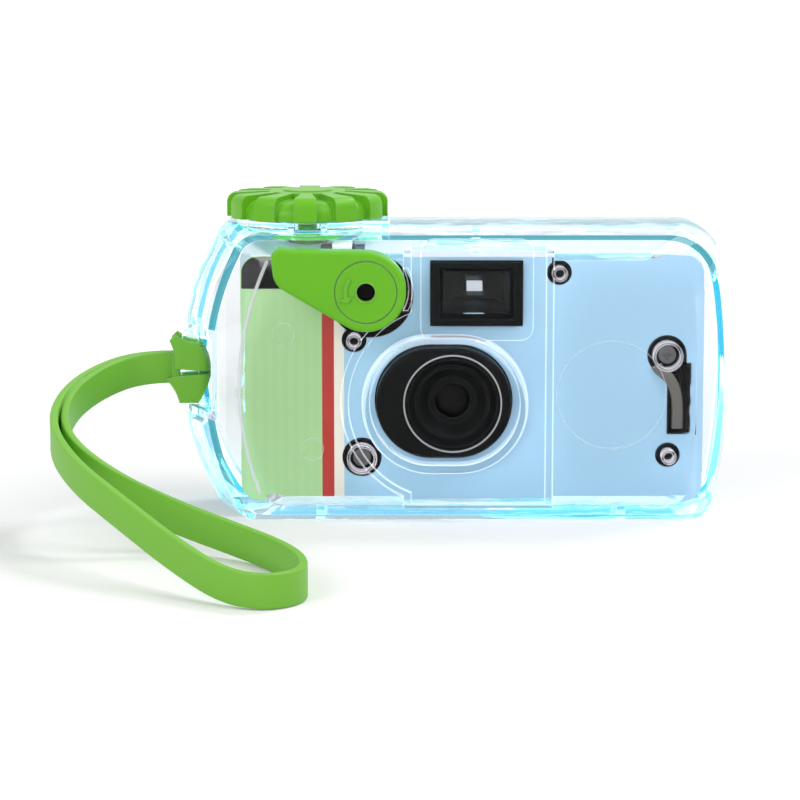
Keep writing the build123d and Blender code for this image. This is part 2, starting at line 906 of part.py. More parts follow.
def lever_shaft():
    """Steel-like shaft through the front of the case, square at both ends."""
    head = lever_front - lever_wall
    journal_end = lever_arm_front + lever_clip_thickness + ring_gap
    shaft = slab(disc(lever_x, lever_z, lever_shaft_radius), front_reach + lever_boss_height, journal_end)
    shaft += slab(lever_key(0), head, front_reach + lever_boss_height)
    shaft += slab(lever_key(0), journal_end, lever_arm_front - lever_arm_thickness)
    return shaft


def lever_seal():
    """Ring of soft rubber in the gland of the lever's boss."""
    section = (lever_gland_radius - lever_shaft_radius) / 2 - ring_gap
    middle = (lever_gland_radius + lever_shaft_radius) / 2
    place = Location((lever_x, lever_gland_height / 2 - lever_seal_front, lever_z), (90, 0, 0))
    return place * Torus(middle, section)


def lever_clip():
    """Steel washer clip between the front panel and the arm."""
    ring = disc(lever_x, lever_z, lever_arm_radius) - lever_key(ring_gap)
    return slab(ring, lever_arm_front + lever_clip_thickness, lever_arm_front + ring_gap)


def lever_arm():
    """Crank behind the front panel: up over the film unit, then back over its button."""
    far = lever_arm_front - lever_arm_thickness
    right = button_x + lever_arm_width / 2
    left = button_x - lever_arm_width / 2
    knee = Pos(button_x, lever_arm_top - lever_arm_width / 2) * Circle(lever_arm_width / 2)
    web = make_hull([(Pos(lever_x, lever_z) * Circle(lever_arm_radius)).edge(), knee.edge()])
    web += panel(left, right, lever_z + lever_arm_radius, lever_arm_top)
    arm = slab(web - lever_key(key_fit), lever_arm_front, far)
    tab_low = lever_arm_top - lever_tab_thickness
    arm += block(left, right, lever_arm_front, lever_tab_back, tab_low, lever_arm_top)
    bend = arm.edges().filter_by(Axis.X).group_by(Axis.Z)[-1].sort_by(Axis.Y)[0]
    return fillet(bend, lever_arm_thickness)


# Film unit: covers, label and what is fixed on them

def unit_outline(inset):
    """Rounded rectangle of the film unit in the front view."""
    middle = unit_low + unit_height / 2
    width = unit_width - 2 * inset
    height = unit_height - 2 * inset
    return Pos(unit_x, middle) * RectangleRounded(width, height, unit_round - inset)


def latch_window(grow):
    """Opening at the right end where the latch sits."""
    return panel(
        latch_x - latch_width / 2 - grow,
        latch_x + latch_width / 2 + grow,
        latch_low - grow,
        latch_high + grow,
    )


def post_lug(grow):
    """Small lug from the post at the top up to the cover's edge, or its opening in the label."""
    x, z = small_posts[1]
    left = x - post_lug_width / 2 - grow
    right = x + post_lug_width / 2 - small_post_radius / 2 + grow
    return panel(left, right, z, unit_high + grow)


def front_cover():
    """Black moulded front: tray with lens boss, finder opening, posts and button hole."""
    face = unit_front - label_thickness
    inner = face - cover_front_wall
    cover = slab(unit_outline(0), face, unit_seam)
    cover -= slab(unit_outline(cover_wall), inner, unit_seam - overrun)
    lens_boss = disc(lens_x, lens_z, lens_radius + lens_boss_wall)
    cover += slab(lens_boss, face, face - lens_seat_depth - stop_thickness)
    cover += slab(post_lug(0), face + post_lift / 2, inner)
    for x, z in small_posts:
        cover += slab(disc(x, z, small_post_radius), face + post_lift, inner)
        cover -= slab(disc(x, z, small_post_radius - post_rim), face + post_lift, face)
    for x, z in screw_posts:
        cover += slab(disc(x, z, screw_post_radius), face + post_lift, inner)
        cover -= slab(disc(x, z, screw_post_radius - post_rim), face + post_lift, face)
        cover -= slab(disc(x, z, screw_radius + ring_gap), face + overrun, inner - overrun)
    cover -= slab(disc(lens_x, lens_z, lens_radius + retainer_gap), face + overrun, face - lens_seat_depth)
    cover -= slab(disc(lens_x, lens_z, stop_radius), face, tunnel_front)
    finder_hole = panel(
        finder_x - finder_tube_width / 2 - groove_clearance,
        finder_x + finder_tube_width / 2 + groove_clearance,
        finder_z - finder_tube_height / 2 - groove_clearance,
        finder_z + finder_tube_height / 2 + groove_clearance,
    )
    cover -= slab(finder_hole, face + overrun, inner - overrun)
    cover -= slab(latch_window(0), face + overrun, inner - overrun)
    button_hole = Pos(button_x, button_y) * Circle(button_radius + key_fit)
    cover -= column(button_hole, unit_high - cover_wall - overrun, unit_high + overrun)
    return cover


def counter_opening():
    """Window for the frame number, in plan."""
    window_y = counter_y + counter_radius - counter_window / 2
    return Pos(counter_x, window_y) * Rectangle(counter_window, counter_window)


def eye_opening():
    """Window behind the finder, in the back view."""
    return Pos(finder_x, finder_z) * Rectangle(finder_eye_width, finder_eye_height)


def wheel_opening():
    """Slot in the back that the rim of the thumbwheel shows in."""
    high = wheel_high + locating_gap
    return panel(knob_x - wheel_radius, knob_x + wheel_radius, wheel_low - locating_gap, high)


def rear_cover():
    """Black moulded back: tray open for shaft, counter, eye and wheel, with rails for the film."""
    near = unit_seam - unit_seam_gap
    inner = cover_wall - unit_back
    cover = slab(unit_outline(0), near, -unit_back)
    cover -= slab(unit_outline(cover_wall), near + overrun, inner)
    shaft_hole = Pos(knob_x, knob_y) * Circle(wheel_hub_radius + locating_gap)
    cover -= column(shaft_hole + counter_opening(), unit_high - cover_wall - overrun, unit_high + overrun)
    cover -= slab(eye_opening() + wheel_opening(), inner + overrun, -unit_back - overrun)
    rail_near = -film_y - film_thickness - ring_gap
    rail_left = lens_x - gate_width / 2
    rail_right = lens_x + gate_width / 2
    for side in (-1, 0, 1):
        rail_low = lens_z + side * film_width / 3 - cover_wall / 2
        cover += block(rail_left, rail_right, rail_near, inner, rail_low, rail_low + cover_wall)
    return cover


def label_windows():
    """What is cut from the front of the label: bezels, posts, latch and the bare corner."""
    around = 2 * post_window_gap
    windows = stadium(shield_x, lens_z, shield_width + around, shield_height + around)
    windows += Pos(finder_x, finder_z) * Rectangle(finder_width + around, finder_height + around)
    notch_low = unit_high - label_notch_height
    windows += panel(unit_left - overrun, unit_left + label_notch_width, notch_low, unit_high + overrun)
    for x, z in small_posts:
        windows += disc(x, z, small_post_radius + post_window_gap)
    for x, z in screw_posts:
        windows += disc(x, z, screw_post_radius + post_window_gap)
    windows += post_lug(post_window_gap)
    windows += disc(lever_x + lever_window_shift, lever_z - lever_window_drop, lever_window_radius)
    windows += latch_window(post_window_gap)
    arm_left = latch_arm_left - post_window_gap
    return windows + panel(arm_left, latch_x, latch_low - post_window_gap, screw_posts[1][1])


def printed_label():
    """Thin printed sleeve round the film unit, cut out for all that stands or looks through it."""
    far = -unit_back - label_thickness
    sleeve = slab(unit_outline(-label_thickness), unit_front, far)
    sleeve -= slab(unit_outline(-ring_gap), unit_front - label_thickness, -unit_back)
    sleeve -= slab(label_windows(), unit_front + overrun, unit_front - label_thickness)
    above = unit_high + overrun
    button_room = lever_arm_width + 2 * post_window_gap
    button_window = panel(
        button_x - button_room, button_x + button_room, -unit_front - overrun, button_y + button_room
    )
    sleeve -= column(button_window, unit_high - overrun / 2, above)
    sleeve -= column(Pos(knob_x, knob_y) * Circle(wheel_hub_radius + overrun), unit_high, above)
    sleeve -= column(counter_opening(), unit_high, above)
    sleeve -= slab(eye_opening() + wheel_opening(), -unit_back + overrun / 2, far - overrun)
    return sleeve


def cover_latch():
    """Black sprung arm below the right-hand post, hooked behind the edge of the front cover."""
    face = unit_front - label_thickness
    arm_z = screw_posts[1][1] - screw_post_radius - post_window_gap
    arm = panel(latch_arm_left, latch_arm_left + latch_arm_width, latch_low, arm_z)
    hook = latch_window(-groove_clearance)
    hook_right = latch_x + latch_width / 2 - groove_clearance
    foot = panel(latch_arm_left, hook_right, latch_low, latch_low + latch_foot_height)
    latch = slab(arm + foot + hook, face + post_lift, face)
    return latch + slab(hook, face + post_lift, face - cover_front_wall - latch_hook_depth)


def cover_screws():
    """Two small self-tapping screws that hold the front cover to the chassis."""
    seat = unit_front - label_thickness
    screws = []
    for x, z in screw_posts:
        head = slab(disc(x, z, screw_head_radius), seat + screw_head_height, seat)
        head = fillet(head.faces().sort_by(Axis.Y)[0].edges(), screw_head_round)
        slot = Rectangle(screw_head_radius, screw_slot_width)
        slot += Rectangle(screw_slot_width, screw_head_radius)
        head -= slab(Pos(x, z) * slot, seat + screw_head_height + overrun, seat + screw_head_height / 2)
        screws.append(head + slab(disc(x, z, screw_radius), seat, seat - screw_length))
    return Compound(children=screws)


# Chassis

def chassis_spine():
    """Plan of the chassis wall: round the cartridge, along the film gate, round the film roll."""
    left_radius = cartridge_radius + chamber_gap + chassis_wall / 2
    right_radius = supply_flange_radius + chamber_gap + chassis_wall / 2
    left_arc = CenterArc((knob_x, knob_y), left_radius, -95, 125)
    right_arc = CenterArc((supply_x, supply_y), right_radius, 150, 145)
    gate_left = cartridge_lip_end + chassis_wall + chamber_gap
    gate_front = gate_y - chassis_wall / 2
    lines = [
        left_arc,
        Line(left_arc @ 1, (gate_left, gate_front)),
        Line((gate_left, gate_front), (film_straight_end, gate_front)),
        Line((film_straight_end, gate_front), right_arc @ 0),
        right_arc,
    ]
    return trace(lines, chassis_wall)


def main_chassis():
    """Frame between the covers: film gate, dark tunnel, chambers, deck, posts and ears."""
    chassis = column(chassis_spine(), chassis_low, chassis_high)
    gate = view(-gate_y) * (Pos(lens_x, lens_z) * Rectangle(gate_width, gate_height))
    mouth = view(tunnel_front) * (Pos(lens_x, lens_z) * Rectangle(tunnel_mouth_width, tunnel_mouth_height))
    walls = 2 * chassis_wall
    outer_gate = Pos(lens_x, lens_z) * Rectangle(gate_width + walls, gate_height + walls)
    outer_mouth = Pos(lens_x, lens_z) * Rectangle(tunnel_mouth_width + walls, tunnel_mouth_height + walls)
    chassis += loft([view(tunnel_front) * outer_mouth, view(chassis_wall - gate_y) * outer_gate])

    deck_left = knob_x + cartridge_radius + chamber_gap
    deck_right = supply_x - supply_flange_radius - chamber_gap
    inner_front = unit_front - label_thickness - cover_front_wall - ring_gap
    deck_plan = panel(deck_left, deck_right, -inner_front, gate_y)
    chassis += column(deck_plan, deck_low, deck_high)
    floor_plan = panel(deck_left, deck_right, -tunnel_front + plate_thickness, gate_y)
    chassis += column(floor_plan, chassis_low, chassis_low + deck_thickness)
    chassis -= loft([mouth, gate])
    gate_plan = Pos(lens_x, lens_z) * Rectangle(gate_width, gate_height)
    chassis -= slab(gate_plan, -gate_y + overrun, -gate_y - overrun)

    finder_space = panel(
        finder_x - finder_tube_width / 2 - finder_wall,
        finder_x + finder_tube_width / 2 + finder_wall,
        -unit_front,
        unit_back,
    )
    finder_low = finder_z - finder_tube_height / 2 - groove_clearance
    chassis -= column(finder_space, finder_low, chassis_high)

    for x, z in screw_posts:
        post = slab(disc(x, z, post_radius), inner_front, inner_front - screw_length - post_radius)
        hole = slab(disc(x, z, screw_radius + ring_gap), inner_front + overrun, inner_front - screw_length)
        chassis = chassis + post - hole
    cartridge_chamber = Pos(knob_x, knob_y) * Circle(cartridge_radius + chamber_gap)
    supply_chamber = Pos(supply_x, supply_y) * Circle(supply_flange_radius + chamber_gap)
    chassis -= column(cartridge_chamber + supply_chamber, chassis_low, chassis_high)

    sprocket_room = Pos(sprocket_x, sprocket_y) * Circle(sprocket_tip_radius + sprocket_gap)
    chassis -= column(sprocket_room, sprocket_low - sprocket_gap, sprocket_high + sprocket_gap)
    shaft_hole = Pos(sprocket_x, sprocket_y) * Circle(sprocket_shaft_radius + shaft_fit)
    chassis -= column(shaft_hole, sprocket_low - 2 * overrun, deck_high + overrun)

    counter_post = Pos(counter_x, counter_y) * Circle(counter_post_radius)
    chassis += column(counter_post, deck_high, counter_low + 2 * counter_thickness)
    for side in (-1, 1):
        ear_y = button_y + side * (trigger_width / 2 + ear_thickness / 2 + ring_gap)
        ear = Pos(trigger_x, ear_y) * Rectangle(ear_width, ear_thickness)
        chassis += column(ear, deck_high, trigger_z + ear_width / 2)
    pin_hole = disc(trigger_x, trigger_z, trigger_pin_radius + shaft_fit)
    chassis -= slab(pin_hole, unit_front, button_y - trigger_width)
    return chassis


# Film path

def film_cartridge():
    """Thin metal can with open-holed caps and a lip that the film leaves through."""
    high = cartridge_high
    can = column(Pos(knob_x, knob_y) * Circle(cartridge_radius), cartridge_low, high)
    can = fillet(can.edges().filter_by(GeomType.CIRCLE), cartridge_edge_round)
    lip_front = film_y - cartridge_lip_thickness / 2
    lip_back = film_y + cartridge_lip_thickness / 2
    lip_low = lens_z - film_width / 2 - cartridge_wall
    lip_high = lens_z + film_width / 2 + cartridge_wall
    can += column(panel(knob_x, cartridge_lip_end, lip_front, lip_back), lip_low, lip_high)
    inside = Pos(knob_x, knob_y) * Circle(cartridge_radius - cartridge_wall)
    can -= column(inside, cartridge_low + cartridge_wall, high - cartridge_wall)
    slot = panel(knob_x, cartridge_lip_end + overrun, film_y - film_slot / 2, film_y + film_slot / 2)
    can -= column(slot, lip_low + cartridge_wall / 2, lip_high - cartridge_wall / 2)
    hole = Pos(knob_x, knob_y) * Circle(spool_neck_radius + ring_gap)
    can -= column(hole, cartridge_low - overrun, high + overrun)
    return can


def cartridge_spool():
    """Spool inside the cartridge, with a crossbar in its upper socket."""
    high = cartridge_high
    core_low = cartridge_low + 2 * cartridge_wall
    core_high = high - 2 * cartridge_wall
    spool = column(Circle(spool_radius), core_low, core_high)
    spool += column(Circle(spool_neck_radius), cartridge_low, high)
    socket = Circle(spool_neck_radius - 2 * cartridge_wall)
    crossbar = Rectangle(2 * spool_neck_radius, 2 * cartridge_wall)
    spool -= column(socket - crossbar, high - 2 * spool_neck_radius, high + overrun)
    return Pos(knob_x, knob_y, 0) * spool


def thumbwheel():
    """Notched wheel over the cartridge: forked key below, crossed socket above."""
    wheel = Circle(wheel_radius)
    notch = Circle(wheel_notch_radius)
    for index in range(wheel_notches):
        wheel -= Rot(0, 0, index * 360 / wheel_notches) * (Pos(wheel_radius, 0) * notch)
    solid = column(wheel, wheel_low, wheel_high)
    solid += column(Circle(wheel_hub_radius), wheel_low, wheel_hub_high)
    solid -= column(cross(key_fit), cross_low - key_fit, wheel_hub_high + overrun)
    fork = Circle(spool_neck_radius - 2 * cartridge_wall - key_fit)
    fork -= Rectangle(2 * spool_neck_radius, 2 * cartridge_wall + 2 * key_fit)
    solid += column(fork, cartridge_high - spool_neck_radius, wheel_low)
    return Pos(knob_x, knob_y, 0) * solid


def film_strip():
    """The stretch of film across the gate, punched along both edges."""
    end_x = supply_x - overrun
    end_y = supply_y + film_roll_radius + film_thickness
    path = Polyline((knob_x + spool_radius, film_y), (film_straight_end, film_y), (end_x, end_y))
    strip = column(trace(path, film_thickness), lens_z - film_width / 2, lens_z + film_width / 2)
    for level in (perforation_row, 2 * lens_z - perforation_row):
        for index in range(perforation_count):
            hole_x = sprocket_x + (index - 1) * perforation_pitch
            hole = Pos(hole_x, level) * Rectangle(perforation_width / 2, perforation_height)
            strip -= slab(hole, -film_y + film_thickness, -film_y - film_thickness)
    return strip


def supply_spool():
    """Core that the fresh film is wound on, with thin flanges and end pins."""
    spool = column(Circle(supply_core_radius), supply_low, supply_high)
    for low in (supply_low, supply_high - cartridge_wall):
        spool += column(Circle(supply_flange_radius), low, low + cartridge_wall)
    pin_low = unit_low + cover_wall + key_fit
    pin_high = unit_high - cover_wall - key_fit
    spool += column(Circle(supply_pin_radius), pin_low, pin_high)
    return Pos(supply_x, supply_y, 0) * spool


def film_roll():
    """The fresh film wound on the supply spool."""
    ring = Circle(film_roll_radius) - Circle(supply_core_radius + ring_gap)
    low = lens_z - film_width / 2
    return Pos(supply_x, supply_y, 0) * column(ring, low, low + film_width)


def sprocket_wheel():
    """Toothed wheel under the deck that the film turns, on its upright shaft."""
    wheel = Circle(sprocket_root_radius)
    tooth_depth = sprocket_tip_radius - sprocket_root_radius
    tooth = Pos(sprocket_root_radius, 0) * Rectangle(2 * tooth_depth, perforation_width / 2)
    tooth &= Circle(sprocket_tip_radius)
    for index in range(sprocket_teeth):
        wheel += Rot(0, 0, 90 + index * 360 / sprocket_teeth) * tooth
    solid = column(wheel, sprocket_low, sprocket_high)
    solid += column(Circle(sprocket_shaft_radius), sprocket_low - overrun, sprocket_shaft_high)
    collar = Circle(2 * sprocket_shaft_radius)
    solid += column(collar, sprocket_shaft_high - 2 * overrun, sprocket_shaft_high)
    return Pos(sprocket_x, sprocket_y, 0) * solid


def frame_counter():
    """Numbered disc with fine teeth, turned a step for each frame."""
    wheel = Circle(counter_radius)
    notch = Circle(counter_tooth_depth)
    for index in range(counter_teeth):
        wheel -= Rot(0, 0, index * 360 / counter_teeth) * (Pos(counter_radius, 0) * notch)
    wheel -= Circle(counter_post_radius + shaft_fit)
    return Pos(counter_x, counter_y, 0) * column(wheel, counter_low, counter_low + counter_thickness)


# Release and shutter

def release_button():
    """Round button in the top of the film unit, with its stem and flange."""
    head_low = unit_high - cover_wall
    button = column(Circle(button_radius), head_low, button_high)
    button = fillet(button.faces().sort_by(Axis.Z)[-1].edges(), button_edge_round)
    button += column(Circle(button_stem_radius), button_stem_low, head_low)
    return Pos(button_x, button_y, 0) * button


def trigger_lever():
    """Rocker under the button, on its own trunnions in the ears of the deck."""
    left = trigger_x - trigger_left
    right = trigger_x + trigger_right
    far = -button_y - trigger_width / 2
    near = -button_y + trigger_width / 2
    half = trigger_thickness / 2
    rocker = block(left, right, near, far, trigger_z - half, trigger_z + half)
    rocker += slab(disc(trigger_x, trigger_z, trigger_pin_radius + half), near, far)
    rocker += slab(disc(trigger_x, trigger_z, trigger_pin_radius), near + ear_thickness, far - ear_thickness)
    return rocker


def shutter_plate():
    """Flat plate behind the lens that carries the shutter blade on a pin."""
    near = shutter_front()
    plate = Pos(lens_x, lens_z) * RectangleRounded(plate_width, plate_height, unit_round)
    plate -= disc(lens_x, lens_z, plate_hole)
    solid = slab(plate, near, near - plate_thickness)
    pin_near = near + blade_gap + blade_thickness + ring_gap
    solid += slab(disc(blade_x, blade_z, blade_pin_radius), pin_near, near)
    return solid


def shutter_front():
    """Reach of the front face of the shutter plate."""
    return tunnel_front + plate_thickness + ring_gap


def shutter_blade():
    """Thin blade that covers the stop and swings aside on its pin."""
    reach = math.dist((blade_x, blade_z), (lens_x, lens_z))
    angle = math.degrees(math.atan2(lens_z - blade_z, lens_x - blade_x))
    arm = make_hull([Circle(blade_root_radius).edge(), (Pos(reach, 0) * Circle(blade_width / 2)).edge()])
    arm -= Circle(blade_pin_radius + shaft_fit)
    blade = Pos(blade_x, blade_z) * (Rot(0, 0, angle) * arm)
    near = shutter_front() + blade_gap
    return slab(blade, near + blade_thickness, near)


def shutter_spring():
    """Hairpin of steel wire that returns the blade."""
    wire = lever_spring_wire / 2
    y = -shutter_front() - wire - ring_gap
    start = (blade_x + blade_width, blade_z - blade_width)
    knee = (blade_x + blade_width, blade_z + blade_width / 3)
    end = (blade_x - blade_width, blade_z + blade_width / 2)
    path = FilletPolyline(
        (start[0], y, start[1]),
        (knee[0], y, knee[1]),
        (end[0], y, end[1]),
        radius=blade_width / 6,
    )
    section = Plane(origin=path @ 0, z_dir=path % 0) * Circle(wire)
    return sweep(section, path)


def bulge(sag):
    """Tip height and middle point of a lens face whose ball is centred on the axis."""
    ball = (lens_hole ** 2 + sag ** 2) / (2 * sag)
    half_angle = math.asin(lens_hole / ball) / 2
    return sag, (ball * math.sin(half_angle), sag - ball + ball * math.cos(half_angle))


def lens_element():
    """Moulded lens, bulged at both faces, with a flat edge to sit on."""
    half = lens_edge / 2
    front_tip, front_middle = bulge(lens_sag)
    rear_tip, rear_middle = bulge(lens_rear_sag)
    outline = [
        ThreePointArc((0, half + front_tip), (front_middle[0], half + front_middle[1]), (lens_hole, half)),
        Line((lens_hole, half), (lens_radius, half)),
        Line((lens_radius, half), (lens_radius, -half)),
        Line((lens_radius, -half), (lens_hole, -half)),
        ThreePointArc((lens_hole, -half), (rear_middle[0], -half - rear_middle[1]), (0, -half - rear_tip)),
        Line((0, -half - rear_tip), (0, half + front_tip)),
    ]
    solid = revolve(make_face(outline), Axis.Y)
    seat = unit_front - label_thickness - lens_seat_depth + lens_rear_sag
    return Location((lens_x, -seat - half, lens_z), (180, 0, 0)) * solid


def lens_shield():
    """Oval black bezel on the front cover, bored for the lens retainer."""
    face = unit_front - label_thickness
    shield = slab(stadium(shield_x, lens_z, shield_width, shield_height), shield_reach, face)
    shield = fillet(shield.faces().sort_by(Axis.Y)[0].edges(), shield_round)
    return shield - slab(disc(lens_x, lens_z, shield_bore), shield_reach + overrun, face - overrun)


def lens_retainer():
    """Black stepped cone that holds the lens, set in the bore of the shield."""
    outer = shield_bore - retainer_gap
    face = unit_front - label_thickness
    depth = retainer_reach - face
    step = depth / retainer_steps
    run = (retainer_mouth - lens_hole) / 4
    points = [
        (outer, 0),
        (outer, depth),
        (retainer_mouth, depth),
        (retainer_mouth - run, 3 * step),
        (retainer_mouth - run - run / 2, 3 * step),
        (retainer_mouth - 3 * run, step),
        (lens_hole, step),
        (lens_hole, 0),
    ]
    ring = revolve(make_face(Polyline(*points, close=True)), Axis.Y)
    return Location((lens_x, -face, lens_z), (180, 0, 0)) * ring


def finder_frame():
    """Black bezel with a stepped funnel, in one piece with the tube behind it."""
    near = finder_frame_reach
    face = unit_front - label_thickness
    bezel = Rectangle(finder_width, finder_height)
    bezel = fillet(bezel.vertices().group_by(Axis.Y)[0], finder_frame_round)
    frame = slab(Pos(finder_x, finder_z) * bezel, near, face)
    high = finder_z + finder_height / 2
    left = finder_x - finder_width / 2
    ledge = panel(left, left + finder_width, high - finder_ledge_height, high)
    frame += slab(ledge, near + finder_ledge, face)
    tube = Rectangle(finder_tube_width, finder_tube_height)
    tube_back = unit_back - cover_wall - ring_gap
    frame += slab(Pos(finder_x, finder_z) * tube, face, -tube_back)
    bore_width = finder_tube_width - 2 * finder_wall
    bore_height = finder_tube_height - 2 * finder_wall
    bore = Rectangle(bore_width, bore_height)
    frame -= slab(Pos(finder_x, finder_z) * bore, near + overrun, finder_wall - tube_back)
    eye = Rectangle(finder_eye_width, finder_eye_height)
    frame -= slab(Pos(finder_x, finder_z) * eye, face, -tube_back - overrun)
    mouth = view(near) * (Pos(finder_x, finder_z) * Rectangle(finder_tube_width, finder_tube_height))
    throat = view(face) * (Pos(finder_x, finder_z) * bore)
    return frame - loft([mouth, throat])


def finder_front_lens():
    """Hollowed clear lens in the mouth of the finder."""
    near = finder_frame_reach - finder_funnel_depth
    width = finder_tube_width - 2 * finder_wall - 2 * ring_gap
    height = finder_tube_height - 2 * finder_wall - 2 * ring_gap
    glass = slab(Pos(finder_x, finder_z) * Rectangle(width, height), near, near - finder_lens_thickness)
    ball_radius = width
    ball = Pos(finder_x, finder_lens_hollow - near - ball_radius, finder_z) * Sphere(ball_radius)
    return glass - ball


def finder_rear_lens():
    """Small bulged clear lens at the eye end of the finder."""
    near = finder_wall + cover_wall - unit_back + finder_lens_thickness + ring_gap
    width = finder_tube_width - 2 * finder_wall - 2 * ring_gap
    height = finder_tube_height - 2 * finder_wall - 2 * ring_gap
    return slab(Pos(finder_x, finder_z) * Rectangle(width, height), near, near - finder_lens_thickness)


def lever_spring():
    """Coil round the lever's boss that lifts the lever again."""
    radius = lever_boss_radius + lever_spring_wire
    coil = Helix(lever_spring_pitch, lever_spring_pitch * lever_spring_turns, radius)
    section = Plane(origin=coil @ 0, z_dir=coil % 0) * Circle(lever_spring_wire / 2)
    spring = sweep(section, coil)
    start = front_reach + lever_gap
    return Location((lever_x, -start, lever_z), (90, 0, 0)) * spring


# Strap

def strap_radii():
    """One radius for each corner of the route, as large as its two runs allow."""
    radii = []
    for before, corner, after in zip(strap_route, strap_route[1:], strap_route[2:]):
        run_in = Vector(corner) - Vector(before)
        run_out = Vector(after) - Vector(corner)
        turn = math.radians(run_in.get_angle(run_out))
        shorter = min(run_in.length, run_out.length)
        radii.append(strap_corner_share * shorter / math.tan(turn / 2))
    print("strap radii", [round(radius, 1) for radius in radii])
    return radii


def wrist_strap():
    """The loop of the strap: a flat band standing on edge."""
    path = FilletPolyline(*strap_route, radius=strap_radii())
    guide = Pos(0, 0, case_height) * path
    start = Plane(origin=path @ 0, x_dir=(0, 0, 1), z_dir=path % 0)
    band = start * Rectangle(strap_width, strap_thickness)
    strap = sweep(band, path, binormal=guide)
    straight = strap_width * strap_thickness * path.length
    print("strap volume", round(strap.volume), "section x length", round(straight))
    return strap


def bowed(start, end, bow):
    """Arc between two points that stands off their chord, to its left, by the bow."""
    along = Vector(*end) - Vector(*start)
    aside = Vector(-along.Y, along.X).normalized() * bow
    middle = (Vector(*start) + Vector(*end)) / 2 + aside
    return ThreePointArc(Vector(*start), middle, Vector(*end))


def hitch_upper_face():
    """Upper band from the front: round shoulder at the bar, flared tip at the free edge."""
    top = hitch_high + hitch_rise
    foot = (hitch_left, hitch_high + hitch_split)
    slit = (hitch_right, hitch_high)
    shoulder = (hitch_right - hitch_shoulder, top)
    tip = (hitch_left, hitch_high + hitch_tip_rise)
    tip_end = (hitch_left - hitch_tip_width, hitch_high + hitch_tip_rise - hitch_tip_width)
    edges = [
        Line(foot, slit),
        bowed(slit, shoulder, -hitch_bow),
        bowed(shoulder, tip, hitch_bow),
        Line(tip, tip_end),
        bowed(tip_end, foot, hitch_bow),
    ]
    return make_face(edges)


def hitch_lower_face():
    """Lower band from the front: its free edge sweeps in below the tip."""
    bottom = hitch_low - hitch_rise
    tip = (hitch_left - hitch_tail_out, hitch_low - hitch_tip_width)
    tip_high = (hitch_left, hitch_low - hitch_split)
    slit = (hitch_right, hitch_low)
    shoulder = (hitch_right - hitch_shoulder, bottom)
    foot = (hitch_left + hitch_tip_out, bottom)
    edges = [
        Line(slit, tip_high),
        Line(tip_high, tip),
        bowed(tip, foot, hitch_bow),
        Line(foot, shoulder),
        bowed(shoulder, slit, -hitch_bow),
    ]
    return make_face(edges)


def strap_hitch():
    """The knot of the strap: two flared bands round the bar, joined by a web behind the legs."""
    near = lug_bar_depth / 2 + hitch_gap
    outer = near + strap_thickness
    left = hitch_left - hitch_tail_out
    wrap = panel(left, hitch_right, -outer, outer)
    wrap = fillet(wrap.vertices().group_by(Axis.X)[-1], near)
    hole = panel(left - overrun, hitch_right - strap_thickness, -near, near)
    wrap -= fillet(hole.vertices().group_by(Axis.X)[-1], near - strap_thickness / 2)
    wraps = column(wrap, hitch_low - 2 * hitch_rise, hitch_high + 2 * hitch_rise)
    wraps &= slab(hitch_upper_face() + hitch_lower_face(), outer + overrun, -outer - overrun)
    web_half = near + strap_thickness / 2
    web = panel(strap_start, strap_start + strap_thickness, -web_half, web_half)
    return wraps + column(web, lug_z - strap_width / 2, lug_z + strap_width / 2)


def build():
    os.makedirs("parts", exist_ok=True)
    pieces = {
        "front_shell": front_shell,
        "rear_shell": rear_shell,
        "case_gasket": case_gasket,
        "advance_knob": advance_knob,
        "knob_shaft": knob_shaft,
        "knob_seal": knob_seal,
        "knob_clip": knob_clip,
        "shutter_lever": shutter_lever,
        "lever_shaft": lever_shaft,
        "lever_seal": lever_seal,
        "lever_clip": lever_clip,
        "lever_arm": lever_arm,
        "lever_spring": lever_spring,
        "front_cover": front_cover,
        "rear_cover": rear_cover,
        "printed_label": printed_label,
        "cover_latch": cover_latch,
        "cover_screws": cover_screws,
        "main_chassis": main_chassis,
        "film_cartridge": film_cartridge,
        "cartridge_spool": cartridge_spool,
        "thumbwheel": thumbwheel,
        "film_strip": film_strip,
        "supply_spool": supply_spool,
        "film_roll": film_roll,
        "sprocket_wheel": sprocket_wheel,
        "frame_counter": frame_counter,
        "release_button": release_button,
        "trigger_lever": trigger_lever,
        "shutter_plate": shutter_plate,
        "shutter_blade": shutter_blade,
        "shutter_spring": shutter_spring,
        "lens_element": lens_element,
        "lens_shield": lens_shield,
        "lens_retainer": lens_retainer,
        "finder_frame": finder_frame,
        "finder_front_lens": finder_front_lens,
        "finder_rear_lens": finder_rear_lens,
        "wrist_strap": wrist_strap,
        "strap_hitch": strap_hitch,
    }
    for name, make in pieces.items():
        save(name, make())


build()
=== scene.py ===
import math

